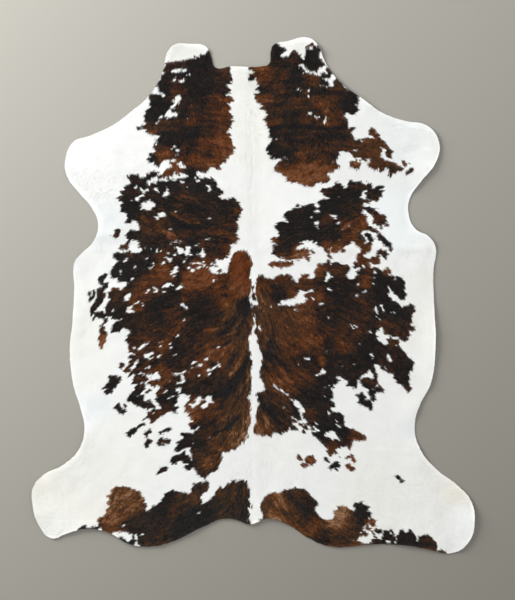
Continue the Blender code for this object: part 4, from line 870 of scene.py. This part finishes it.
CREASE_FADE = 0.080  # over which a crease runs out at its two ends
CREASE_WANDER = 0.006  # how far it strays from a straight line
SKIN_SHARE_OF_CREASE = 0.5  # of its depth, where the parted hair makes the rest
RIM_LIFT = 0.0078
RIM_WIDTH = 0.170
RIM_LIES = 0.45  # share of the lift that the whole rim has, and what its waves add
RIM_SWING = 0.45
RIM_MOST = 1.3  # of the lift, where the waves are highest
RIPPLE_HEIGHT = 0.0006
RIPPLE_RANGE = (-1, 1.5)  # how far ripples fall and rise, in their own heights
WELD_DISTANCE = 1e-5
UNDERSIDE = 1e-4  # what lies lower is on the floor

cad_hide = bmesh.new()
cad_hide.from_mesh(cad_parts["hide"].data)
bmesh.ops.remove_doubles(cad_hide, verts=cad_hide.verts, dist=WELD_DISTANCE)
outline = [edge for edge in cad_hide.edges
           if max(vert.co.z for vert in edge.verts) < UNDERSIDE
           and max(face.calc_center_median().z for face in edge.link_faces) > UNDERSIDE]
outline_start = np.array([edge.verts[0].co[:2] for edge in outline])
outline_end = np.array([edge.verts[1].co[:2] for edge in outline])
RIM_WAVES = cloud(cell=22)
RIPPLES = cloud(cell=9)


def outline_depth(x, y):
    """How far inside the cut outline each place lies, in metres, and negative outside it."""
    return border_depth(outline_start, outline_end, x, y)


def crease_height(x, y):
    """The height that the creases add to the coat, negative in their troughs."""
    height = np.zeros(x.shape)
    wander = CREASE_WANDER * grid_value(RIM_WAVES, *photo_place(x, y))
    for ax, ay, bx, by, depth in CREASES:
        length = np.hypot(bx - ax, by - ay)
        along = ((x - ax) * (bx - ax) + (y - ay) * (by - ay)) / length
        across = abs(((y - ay) * (bx - ax) - (x - ax) * (by - ay)) / length + wander)
        fade = np.clip(along / CREASE_FADE, 0, 1) * np.clip((length - along) / CREASE_FADE, 0, 1)
        height -= depth * fade * np.clip(1 - across / CREASE_HALF_WIDTH, 0, 1)**2
    return height


def skin_height(x, y, depth):
    """The height of the lying skin over the flat: creases, ripples and the lifted rim."""
    column, row = photo_place(x, y)
    lift = RIM_LIFT * np.clip(RIM_LIES + RIM_SWING * grid_value(RIM_WAVES, column, row), 0, RIM_MOST)
    rim = np.clip(1 - depth / RIM_WIDTH, 0, 1)**2
    ripple = RIPPLE_HEIGHT * (1 + np.clip(grid_value(RIPPLES, column, row), *RIPPLE_RANGE))
    return lift * rim + ripple + SKIN_SHARE_OF_CREASE * crease_height(x, y)


def new_piece(name, data):
    """An object of that name in the scene."""
    piece = bpy.data.objects.new(name, data)
    bpy.context.scene.collection.objects.link(piece)
    return piece


def piece_from(name, shape):
    """An object made from a bmesh, which is used up."""
    mesh = bpy.data.meshes.new(name)
    shape.to_mesh(mesh)
    shape.free()
    return new_piece(name, mesh)


# A slab of leather a little larger than the hide, with a cell every centimetre.
span = HIDE_HIGH - HIDE_LOW
slab = bmesh.new()
segments = {"x_segments": round(span.x / SKIN_CELL), "y_segments": round(span.y / SKIN_CELL)}
bmesh.ops.create_grid(slab, size=0.5, **segments)
bmesh.ops.scale(slab, verts=slab.verts, vec=(span.x + 2 * SKIN_CELL, span.y + 2 * SKIN_CELL, 1))
top = bmesh.ops.extrude_face_region(slab, geom=slab.faces[:])["geom"]
top_verts = [item for item in top if isinstance(item, bmesh.types.BMVert)]
bmesh.ops.translate(slab, verts=top_verts, vec=(0, 0, SKIN_THICKNESS))
bmesh.ops.recalc_face_normals(slab, faces=slab.faces[:])
slab_piece = piece_from("hide_slab", slab)

# The CAD solid trims it, so the skin's outline is the solid's own.
CUTTER_STRETCH = 20  # times as high, so that only the CAD solid's upright side cuts
bmesh.ops.scale(cad_hide, verts=cad_hide.verts, vec=(1, 1, CUTTER_STRETCH))
bmesh.ops.translate(cad_hide, verts=cad_hide.verts, vec=(0, 0, -CUTTER_STRETCH * SKIN_THICKNESS / 2))
cutter = piece_from("hide_cutter", cad_hide)
trim = slab_piece.modifiers.new("trim", "BOOLEAN")
trim.operation = "INTERSECT"
trim.solver = "MANIFOLD"
trim.object = cutter
evaluated = bpy.context.evaluated_depsgraph_get()
skin_mesh = bpy.data.meshes.new_from_object(slab_piece.evaluated_get(evaluated))
bpy.data.objects.remove(slab_piece)
bpy.data.objects.remove(cutter)

# It then lies down, with its creases and its lifted rim.
FLAT_SIDE = 0.5  # upright share of a face's normal, past which it isn't the cut edge
skin_points = np.zeros(len(skin_mesh.vertices) * 3)
skin_mesh.vertices.foreach_get("co", skin_points)
skin_points = skin_points.reshape(-1, 3)
skin_x, skin_y = skin_points[:, 0], skin_points[:, 1]
skin_is_top = skin_points[:, 2] > SKIN_THICKNESS / 2
lie = skin_height(skin_x, skin_y, outline_depth(skin_x, skin_y))
skin_points[:, 2] += np.where(skin_is_top, lie, np.maximum(lie, 0))
skin_mesh.vertices.foreach_set("co", skin_points.ravel())
skin_mesh.update()
for polygon in skin_mesh.polygons:
    polygon.use_smooth = abs(polygon.normal.z) > FLAT_SIDE
hide_skin = new_piece("hide_skin", skin_mesh)


def paint_markings(mesh, *columns):
    """Gives each of a mesh's points its share of dark hair, tone with painted fold shade, its cream, golden
    hair or painted sheen, and a fourth value.
    """
    colours = np.stack(columns, axis=1).ravel().astype(np.float32)
    mesh.attributes.new("markings", "FLOAT_COLOR", "POINT").data.foreach_set("color", colours)


def lay_map(mesh, name, places):
    """Gives a mesh a flat map, with two values for each corner of each face."""
    mesh.uv_layers.new(name=name).data.foreach_set("uv", places.ravel().astype(np.float32))


paint_markings(skin_mesh, *markings(*photo_place(skin_x, skin_y)), skin_is_top)

# The map for baking has the hair side on its left half, the flesh side and the cut edge on its right.
MAP_HALF = 0.5
MAP_MARGIN = 0.01
loop_vertex = np.zeros(len(skin_mesh.loops), int)
skin_mesh.loops.foreach_get("vertex_index", loop_vertex)
loop_up = np.repeat([polygon.normal.z > FLAT_SIDE for polygon in skin_mesh.polygons],
                    [polygon.loop_total for polygon in skin_mesh.polygons])
map_u = (skin_x[loop_vertex] - HIDE_LOW.x) / span.x * MAP_HALF + np.where(loop_up, 0, MAP_HALF)
map_v = (skin_y[loop_vertex] - HIDE_LOW.y) / span.y
map_u, map_v = (MAP_MARGIN + way * (1 - 2 * MAP_MARGIN) for way in (map_u, map_v))
lay_map(skin_mesh, "OFBake", np.stack([map_u, map_v], axis=1))


def linear(red, green, blue):
    """A colour as a screen shows it, from 0 to 255, as light, by the screens' standard curve."""
    shown = np.array([red, green, blue]) / 255
    return (*np.where(shown > 0.04045, ((shown + 0.055) / 1.055)**2.4, shown / 12.92), 1.0)


def new_node(tree, kind, sockets=(), **settings):
    """A shader node. Its sockets take a value or another node's output, by their names or numbers."""
    node = tree.nodes.new(kind)
    for setting, value in settings.items():
        setattr(node, setting, value)
    for socket, value in dict(sockets).items():
        if isinstance(value, bpy.types.NodeSocket):
            tree.links.new(value, node.inputs[socket])
        else:
            node.inputs[socket].default_value = value
    return node


def ramp(tree, share, stops):
    """The colour at a share of the way through (place, red, green, blue) rows."""
    node = new_node(tree, "ShaderNodeValToRGB", {"Fac": share})
    while len(node.color_ramp.elements) < len(stops):
        node.color_ramp.elements.new(1)
    for element, (place, *shown) in zip(node.color_ramp.elements, stops):
        element.position = place
        element.color = linear(*shown)
    return node.outputs["Color"]


def mix(tree, share, first, second, **settings):
    """The first colour, and the second as far as the share goes."""
    sockets = {"Factor": share, "A": first, "B": second}
    return new_node(tree, "ShaderNodeMix", sockets, data_type="RGBA", **settings).outputs["Result"]


# The colours of the hair, on the skin and off it.
RED_HAIR = (
    # tone, red, green, blue
    (0.00, 26, 24, 24),
    (0.20, 32, 28, 26),
    (0.45, 55, 36, 27),
    (0.72, 84, 44, 20),
    (1.00, 107, 58, 31),
)
# golden hair, and a painted grey sheen on black hair: its darkest tones are greyer than the red ones
GOLDEN_AND_SHEENED_HAIR = (
    (0.00, 34, 33, 32),
    (0.20, 43, 39, 36),
    (0.45, 64, 48, 35),
    (0.72, 88, 58, 34),
    (0.90, 110, 75, 47),
    (1.00, 152, 118, 90),
)
WHITE_HAIR = (
    # cream, red, green, blue
    (0.00, 232, 238, 238),
    (0.20, 241, 242, 240),
    (0.60, 239, 238, 231),
    (1.00, 234, 228, 214),
)
STRAND_TONE = 0.22  # how far single strands change the tone
FLECKS_AND_GLINTS_IN_RUST = 0.5  # share of the flecks and painted glints of black hair that rust hair has

coat_colour = bpy.data.node_groups.new("coat_colour", "ShaderNodeTree")
for name, in_out, kind in (
    ("Markings", "INPUT", "NodeSocketColor"),
    ("Strand", "INPUT", "NodeSocketFloat"),
    ("Color", "OUTPUT", "NodeSocketColor"),
    ("Dark", "OUTPUT", "NodeSocketFloat"),
    ("Flecks_and_glints", "OUTPUT", "NodeSocketFloat"),
):
    coat_colour.interface.new_socket(name, in_out=in_out, socket_type=kind)
given = new_node(coat_colour, "NodeGroupInput").outputs
split = new_node(coat_colour, "ShaderNodeSeparateColor", {"Color": given["Markings"]}).outputs
strand_tone = new_node(coat_colour, "ShaderNodeMath", {0: given["Strand"], 1: STRAND_TONE, 2: split["Green"]},
                       operation="MULTIPLY_ADD").outputs[0]
red_hair = ramp(coat_colour, strand_tone, RED_HAIR)
golden_or_sheened_hair = ramp(coat_colour, strand_tone, GOLDEN_AND_SHEENED_HAIR)
dark_hair = mix(coat_colour, split["Blue"], red_hair, golden_or_sheened_hair)
white_hair = ramp(coat_colour, split["Blue"], WHITE_HAIR)
# Dark locks are made lighter and darker at random, partly their own tone and partly painted glints, less so
# in rust hair.
fleck_and_glint_by_tone = new_node(coat_colour, "ShaderNodeMapRange",
                       {"Value": split["Green"], "To Min": 1, "To Max": FLECKS_AND_GLINTS_IN_RUST}).outputs["Result"]
fleck_and_glint_weight = new_node(coat_colour, "ShaderNodeMath", {0: fleck_and_glint_by_tone, 1: split["Red"]}, operation="MULTIPLY")
new_node(coat_colour, "NodeGroupOutput", {"Color": mix(coat_colour, split["Red"], white_hair, dark_hair),
                                          "Dark": split["Red"], "Flecks_and_glints": fleck_and_glint_weight.outputs[0]})


def new_material(name):
    """A material, with its tree of nodes and its surface shader."""
    material = bpy.data.materials.new(name)
    material.use_nodes = True
    return material, material.node_tree, material.node_tree.nodes["Principled BSDF"]


# The leather: stained like its hair on top, and pale suede underneath.
SUEDE = (
    # place, red, green, blue
    (0.3, 176, 168, 154),
    (0.5, 196, 189, 176),
    (0.7, 208, 203, 192),
)
HAIR_SIDE = 0.98  # the fourth value of the markings, past which a place is on the hair side
leather, tree, shader = new_material("tanned_skin")
shader.inputs["Roughness"].default_value = 0.9
shader.inputs["Specular IOR Level"].default_value = 0.2
place = new_node(tree, "ShaderNodeTexCoord").outputs["Object"]
marking = new_node(tree, "ShaderNodeAttribute", attribute_name="markings").outputs
nap = new_node(tree, "ShaderNodeTexNoise", {"Vector": place, "Scale": 900, "Detail": 4}).outputs["Fac"]
undercoat = new_node(tree, "ShaderNodeGroup", node_tree=coat_colour)
tree.links.new(marking["Color"], undercoat.inputs["Markings"])
tree.links.new(nap, undercoat.inputs["Strand"])
cloudy = new_node(tree, "ShaderNodeTexNoise", {"Vector": place, "Scale": 9, "Detail": 6}).outputs["Fac"]
hair_side = new_node(tree, "ShaderNodeMath", {0: marking["Alpha"], 1: HAIR_SIDE}, operation="GREATER_THAN")
both_sides = mix(tree, hair_side.outputs[0], ramp(tree, cloudy, SUEDE), undercoat.outputs["Color"])
tree.links.new(both_sides, shader.inputs["Base Color"])
nap_bump = new_node(tree, "ShaderNodeBump", {"Height": nap, "Strength": 0.5, "Distance": 0.0004})
tree.links.new(nap_bump.outputs["Normal"], shader.inputs["Normal"])
skin_mesh.materials.clear()
skin_mesh.materials.append(leather)

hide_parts("hide")
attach(hide_skin, "root")

# ----------------------------------------------------------
# The coat. Short, straight cow hair, 10 to 15 mm long, that grows out of the skin and lies close
# to it in small pointed locks, from the neck down the back, out over the ribs and down the legs.
# Each lock here is four faces, and the locks of each part of the body are one joined mesh.
# ----------------------------------------------------------
LOCK_SPACING = 0.00390
LOCK_LENGTH = 0.0125
LOCK_WIDTH = 0.0046
LOCK_RIDGE = 0.0005  # how far its crest stands over its own flat sides, at its root
LOCK_RISE = 0.0022  # its tip over the skin, in the middle of the hide
LOCK_SUNK = 0.0005  # its root below the skin's surface
LENGTH_RANGE = (0.75, 1.2)  # what single locks have of the sizes above
WIDTH_RANGE = (0.75, 1.25)
RIDGE_RANGE = (0.7, 1.3)
RISE_RANGE = (0.55, 1.1)
LEAST_RISE = 0.0004
SHORT_RISE = 0.3  # of its rise: what the shortest lock keeps
CREST_RUN = 3  # lengths of a lock in which its crest would sink to nothing
LOCK_ROLL = 0.12  # radians: how far a lock leans over to one side
LOCK_STRAY = np.radians(8)  # how far single locks and clumps of them turn from the lay
CLUMP_STRAY = np.radians(7)
CLUMP_CELL = 3  # pixels
LOCK_SOFTNESS = 0.75  # of its shading, as from many fine hairs and not one flat face
SOFT_FACING = 0.3  # upright share of a face's direction, past which it is softened
LOCK_SHOWS_AT = 0.55  # of its length from the root, where a lock lies on top
LOCK_TONE = 0.20  # how far dark locks side by side differ in tone
ROOT_INSET = 0.0006  # from the cut edge to the first root
OVERHANG = 0.0030  # how far a lock may reach past the cut edge
OVERHANG_RANGE = (0.1, 1)
REACHES_EDGE = 1.3  # lock lengths from the edge, within which a lock may reach it
SHORTEST = 0.15  # of its length: what the knife leaves of a lock
RIM_THINNING = 0.020  # from the edge: where the coat has its full height
RIM_COVER = 0.25  # of its height: what it has at the edge
LEAST_GAP = 1e-6  # metres: keeps a share of a distance from being a share of nothing
COAT_PIECES = ("coat_rump", "coat_loin", "coat_ribs", "coat_shoulders", "coat_neck")

# One lock: a flat three-sided cone from its root at the origin to its tip one length along Y.
lock = bmesh.new()
bmesh.ops.create_cone(lock, cap_ends=True, cap_tris=False, segments=3, radius1=1, radius2=0, depth=1)
bmesh.ops.rotate(lock, verts=lock.verts, matrix=Matrix.Rotation(np.radians(-90), 3, "X"))
bmesh.ops.rotate(lock, verts=lock.verts, matrix=Matrix.Rotation(np.radians(180), 3, "Y"))
lock_low = min(vert.co.z for vert in lock.verts)
lock_wide = 2 * max(vert.co.x for vert in lock.verts)
bmesh.ops.translate(lock, verts=lock.verts, vec=(0, 0.5, -lock_low))
lock_high = max(vert.co.z for vert in lock.verts)
bmesh.ops.scale(lock, verts=lock.verts, vec=(1 / lock_wide, 1, 1 / lock_high))
lock_shape = np.array([vert.co[:] for vert in lock.verts])
lock_faces = np.array([[vert.index for vert in face.verts] for face in lock.faces])
lock.free()

# The roots: one to each cell of a grid over the hide, at a random place in it.
columns = int(span.x / LOCK_SPACING) + 1
rows = int(span.y / LOCK_SPACING) + 1
cell_x, cell_y = (cells.ravel() for cells in np.meshgrid(np.arange(columns), np.arange(rows)))
root_x = HIDE_LOW.x + (cell_x + chance.uniform(0, 1, cell_x.size)) * LOCK_SPACING
root_y = HIDE_LOW.y + (cell_y + chance.uniform(0, 1, cell_y.size)) * LOCK_SPACING
root_depth = outline_depth(root_x, root_y)
grown = root_depth > ROOT_INSET
cell_x, cell_y, root_x, root_y = cell_x[grown], cell_y[grown], root_x[grown], root_y[grown]
root_depth = root_depth[grown]
count = root_x.size

# The way each lock runs and its length, which the knife shortened along the edge.
CLUMPS = cloud(CLUMP_CELL)
photo_x, photo_y = photo_place(root_x, root_y)
stray = CLUMP_STRAY * grid_value(CLUMPS, photo_x, photo_y) + LOCK_STRAY * chance.standard_normal(count)
way_x, way_down = turned(*direction(LAY, photo_x, photo_y), stray)
way_y = -way_down
length = LOCK_LENGTH * chance.uniform(*LENGTH_RANGE, count)
near_rim = np.flatnonzero(root_depth < LOCK_LENGTH * REACHES_EDGE)
tip_depth = outline_depth(root_x[near_rim] + way_x[near_rim] * length[near_rim],
                          root_y[near_rim] + way_y[near_rim] * length[near_rim])
allowed = OVERHANG * chance.uniform(*OVERHANG_RANGE, near_rim.size)
kept = (root_depth[near_rim] + allowed) / np.maximum(root_depth[near_rim] - tip_depth, LEAST_GAP)
length[near_rim] *= np.where(tip_depth < -allowed, np.clip(kept, SHORTEST, 1), 1)

# Its root and its tip, which lies on the locks below it.
tip_x, tip_y = root_x + way_x * length, root_y + way_y * length
rim_share = np.clip(root_depth / RIM_THINNING, RIM_COVER, 1)
tip_rise = LOCK_RISE * rim_share * chance.uniform(*RISE_RANGE, count)
tip_rise *= np.clip(length / LOCK_LENGTH, SHORT_RISE, 1)
tip_rise += (1 - SKIN_SHARE_OF_CREASE) * crease_height(tip_x, tip_y)
root_z = SKIN_THICKNESS + skin_height(root_x, root_y, root_depth) - LOCK_SUNK
tip_z = SKIN_THICKNESS + skin_height(tip_x, tip_y, np.maximum(root_depth, 0))
tip_z += np.maximum(tip_rise, LEAST_RISE)

# The corners of all the locks: each is the one lock, turned, rolled and stretched into its place.
run = np.stack([tip_x - root_x, tip_y - root_y, tip_z - root_z], axis=1)
reach = np.linalg.norm(run, axis=1, keepdims=True)
forward = run / reach
side = np.stack([forward[:, 1], -forward[:, 0], np.zeros(count)], axis=1)
side /= np.linalg.norm(side, axis=1, keepdims=True)
up = np.cross(side, forward)
roll = chance.uniform(-LOCK_ROLL, LOCK_ROLL, (count, 1))
side, up = side * np.cos(roll) + up * np.sin(roll), up * np.cos(roll) - side * np.sin(roll)
width = LOCK_WIDTH * chance.uniform(*WIDTH_RANGE, (count, 1))
ridge = LOCK_RIDGE * np.sqrt(rim_share[:, None]) * chance.uniform(*RIDGE_RANGE, (count, 1))
root = np.stack([root_x, root_y, root_z], axis=1)
corners = np.stack([root + side * width * x + forward * reach * y + up * ridge * (z - y / CREST_RUN)
                    for x, y, z in lock_shape], axis=1)

# Their shading: a lock's upper faces look almost as upright as the skin does.
edge_a = corners[:, lock_faces[:, 1]] - corners[:, lock_faces[:, 0]]
edge_b = corners[:, lock_faces[:, 2]] - corners[:, lock_faces[:, 0]]
facing = np.cross(edge_a, edge_b)
facing /= np.linalg.norm(facing, axis=2, keepdims=True)
softened = facing * (1 - LOCK_SOFTNESS) + np.array([0, 0, LOCK_SOFTNESS])
softened /= np.linalg.norm(softened, axis=2, keepdims=True)
shading = np.where(facing[:, :, 2:] > SOFT_FACING, softened, facing)

# Their colours, which are those of the place where a lock shows most.
shown_x = root_x + way_x * length * LOCK_SHOWS_AT
shown_y = root_y + way_y * length * LOCK_SHOWS_AT
dark, tone, yellow_or_sheen = markings(*photo_place(shown_x, shown_y))
lock_chance = chance.uniform(0, 1, count)
lock_tone = LOCK_TONE * mixed_share(tone) * (1 - tone / 2) * chance.standard_normal(count)
tone = np.clip(tone + lock_tone, 0, 1)

hair, tree, shader = new_material("cow_hair")
shader.inputs["Specular IOR Level"].default_value = 0.03
marking = new_node(tree, "ShaderNodeAttribute", attribute_name="markings").outputs
along_hair = new_node(tree, "ShaderNodeUVMap", uv_map="along_hair").outputs["UV"]
stretch = new_node(tree, "ShaderNodeMapping", {"Vector": along_hair, "Scale": (9, 0.8, 1)}).outputs["Vector"]
strands = new_node(tree, "ShaderNodeTexNoise", {"Vector": stretch, "Scale": 1, "Detail": 3}).outputs["Fac"]
centred = new_node(tree, "ShaderNodeMath", {0: strands, 1: 0.5}, operation="SUBTRACT").outputs[0]
coloured = new_node(tree, "ShaderNodeGroup", node_tree=coat_colour)
tree.links.new(marking["Color"], coloured.inputs["Markings"])
tree.links.new(centred, coloured.inputs["Strand"])
strand_light = new_node(tree, "ShaderNodeMapRange", {
    "Value": strands, "From Min": 0.3, "From Max": 0.7, "To Min": 0.9, "To Max": 1.05,
}).outputs["Result"]
# Each dark lock's lightness at random: partly its own tone, partly painted glints on black hair.
fleck = new_node(tree, "ShaderNodeMapRange", {"Value": marking["Alpha"], "To Min": 0.45, "To Max": 1.7})
dark_fleck_and_glint = new_node(tree, "ShaderNodeMix", {"Factor": coloured.outputs["Flecks_and_glints"], "A": 1,
                                              "B": fleck.outputs["Result"]}).outputs["Result"]
all_light = new_node(tree, "ShaderNodeMath", {0: strand_light, 1: dark_fleck_and_glint}, operation="MULTIPLY")
shaded = mix(tree, 1, coloured.outputs["Color"], all_light.outputs[0], blend_type="MULTIPLY")
tree.links.new(shaded, shader.inputs["Base Color"])
dark_share = coloured.outputs["Dark"]
rough = new_node(tree, "ShaderNodeMapRange", {"Value": dark_share, "To Min": 0.9, "To Max": 0.75})
tree.links.new(rough.outputs["Result"], shader.inputs["Roughness"])
strand_bump = new_node(tree, "ShaderNodeBump", {"Height": strands, "Strength": 0.35, "Distance": 0.0003})
tree.links.new(strand_bump.outputs["Normal"], shader.inputs["Normal"])

# A lock's own flat shape on its maps: its crest stands back a little, so that no face is a line there.
CREST_BACK = 0.25
flat_x = lock_shape[:, 0] + 0.5
flat_y = lock_shape[:, 1] - CREST_BACK * lock_shape[:, 2] * (1 - lock_shape[:, 1])
flat = np.stack([flat_x, flat_y], axis=1)[lock_faces.ravel()]
CELL_MARGIN = 0.12  # of a cell of the map for baking, round the lock in it
STRAND_OFFSET = 37  # how far apart locks may lie on the map along their hairs


def lock_mesh(name, own):
    """One joined mesh of the locks with those numbers, with their shading."""
    mesh = bpy.data.meshes.new(name)
    mesh.vertices.add(own.size * len(lock_shape))
    mesh.vertices.foreach_set("co", corners[own].ravel())
    faces = (np.arange(own.size)[:, None, None] * len(lock_shape) + lock_faces).reshape(-1, 3)
    mesh.loops.add(faces.size)
    mesh.loops.foreach_set("vertex_index", faces.ravel())
    mesh.polygons.add(len(faces))
    mesh.polygons.foreach_set("loop_start", np.arange(len(faces)) * 3)
    mesh.polygons.foreach_set("loop_total", np.full(len(faces), 3))
    mesh.update(calc_edges=True)
    mesh.normals_split_custom_set(np.repeat(shading[own].reshape(-1, 3), 3, axis=0))
    return mesh


def baking_places(own):
    """A cell of the map for baking for each lock: the hide's left half below, its right half above."""
    right = (cell_x[own] >= columns // 2).astype(int)
    row = cell_y[own] - cell_y[own].min()
    deep = row.max() + 1
    cell = np.stack([cell_x[own] - right * (columns // 2), row + right * deep], axis=1)[:, None, :]
    spread = CELL_MARGIN + (1 - 2 * CELL_MARGIN) * np.clip(flat, 0, 1)
    return (cell + spread) / np.array([columns - columns // 2, 2 * deep])


bands = np.quantile(root_y, np.linspace(0, 1, len(COAT_PIECES) + 1))
band = np.clip(np.searchsorted(bands, root_y, side="right") - 1, 0, len(COAT_PIECES) - 1)
for number, name in enumerate(COAT_PIECES):
    own = np.flatnonzero(band == number)
    mesh = lock_mesh(name, own)
    paint_markings(mesh, *(np.repeat(values[own], len(lock_shape))
                           for values in (dark, tone, yellow_or_sheen, lock_chance)))
    lay_map(mesh, "OFBake", baking_places(own))
    lay_map(mesh, "along_hair", flat + STRAND_OFFSET * lock_chance[own][:, None, None])
    mesh.materials.append(hair)
    piece = new_piece(name, mesh)
    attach(piece, "root")

# ----------------------------------------------------------
# The studio: a plain pale floor with painted light falloff, its colour painted darker away from the light; a
# broad soft light from the upper left with an even fill, and the photo's camera, which looks straight down.
# ----------------------------------------------------------
FLOOR_SIZE = 14
FLOOR_GAP = 0.0002
FLOOR_FADE = 1.7  # metres from the middle: where the floor's painted light falloff is palest and darkest
TO_LIGHT = (-0.55, 0.84, 0)  # the way across the floor in which its painted light falloff grows paler
FLOOR_PAINTED_FALLOFF = (
    # place, red, green, blue of the floor's painted light falloff
    (0, 130, 127.5, 118.5),
    (0.5, 151, 148.5, 140),
    (1, 170, 168, 159),
)
floor_shape = bmesh.new()
bmesh.ops.create_grid(floor_shape, x_segments=1, y_segments=1, size=FLOOR_SIZE / 2)
bmesh.ops.translate(floor_shape, verts=floor_shape.verts, vec=(0, 0, -FLOOR_GAP))
floor = piece_from("studio_floor", floor_shape)
floor_finish, tree, shader = new_material("pale_floor")
shader.inputs["Roughness"].default_value = 0.9
place = new_node(tree, "ShaderNodeTexCoord").outputs["Object"]
towards = new_node(tree, "ShaderNodeVectorMath", {0: place, 1: TO_LIGHT}, operation="DOT_PRODUCT")
painted_falloff_share = new_node(tree, "ShaderNodeMapRange", {
    "Value": towards.outputs["Value"], "From Min": -FLOOR_FADE, "From Max": FLOOR_FADE,
}).outputs["Result"]
tree.links.new(ramp(tree, painted_falloff_share, FLOOR_PAINTED_FALLOFF), shader.inputs["Base Color"])
floor.data.materials.append(floor_finish)

FILL_STRENGTH = 0.71
world = bpy.data.worlds.new("studio")
world.use_nodes = True
world.node_tree.nodes["Background"].inputs["Color"].default_value = (1, 1, 1, 1)
world.node_tree.nodes["Background"].inputs["Strength"].default_value = FILL_STRENGTH
bpy.context.scene.world = world

KEY_PLACE = Vector((-6.6, 4.7, 2.3))
KEY_SIZE = 3.4
KEY_POWER = 1270
lamp = bpy.data.lights.new("key", "AREA")
lamp.size = KEY_SIZE
lamp.energy = KEY_POWER
key = new_piece("key", lamp)
key.location = KEY_PLACE
key.rotation_euler = (-KEY_PLACE).to_track_quat("-Z", "Y").to_euler()

CAMERA_HEIGHT = 6.0
SENSOR = 24  # millimetres
camera_data = bpy.data.cameras.new("camera")
camera_data.sensor_fit = "VERTICAL"
camera_data.sensor_height = SENSOR
camera_data.lens = SENSOR * CAMERA_HEIGHT / (PHOTO_HEIGHT * PIXEL)
camera = new_piece("camera", camera_data)
camera.location = ((PHOTO_WIDTH / 2 - PHOTO_MIDDLE_X) * PIXEL,
                   (PHOTO_MIDDLE_Y - PHOTO_HEIGHT / 2) * PIXEL, CAMERA_HEIGHT)
bpy.context.scene.camera = camera
bpy.context.scene.view_settings.view_transform = "Standard"
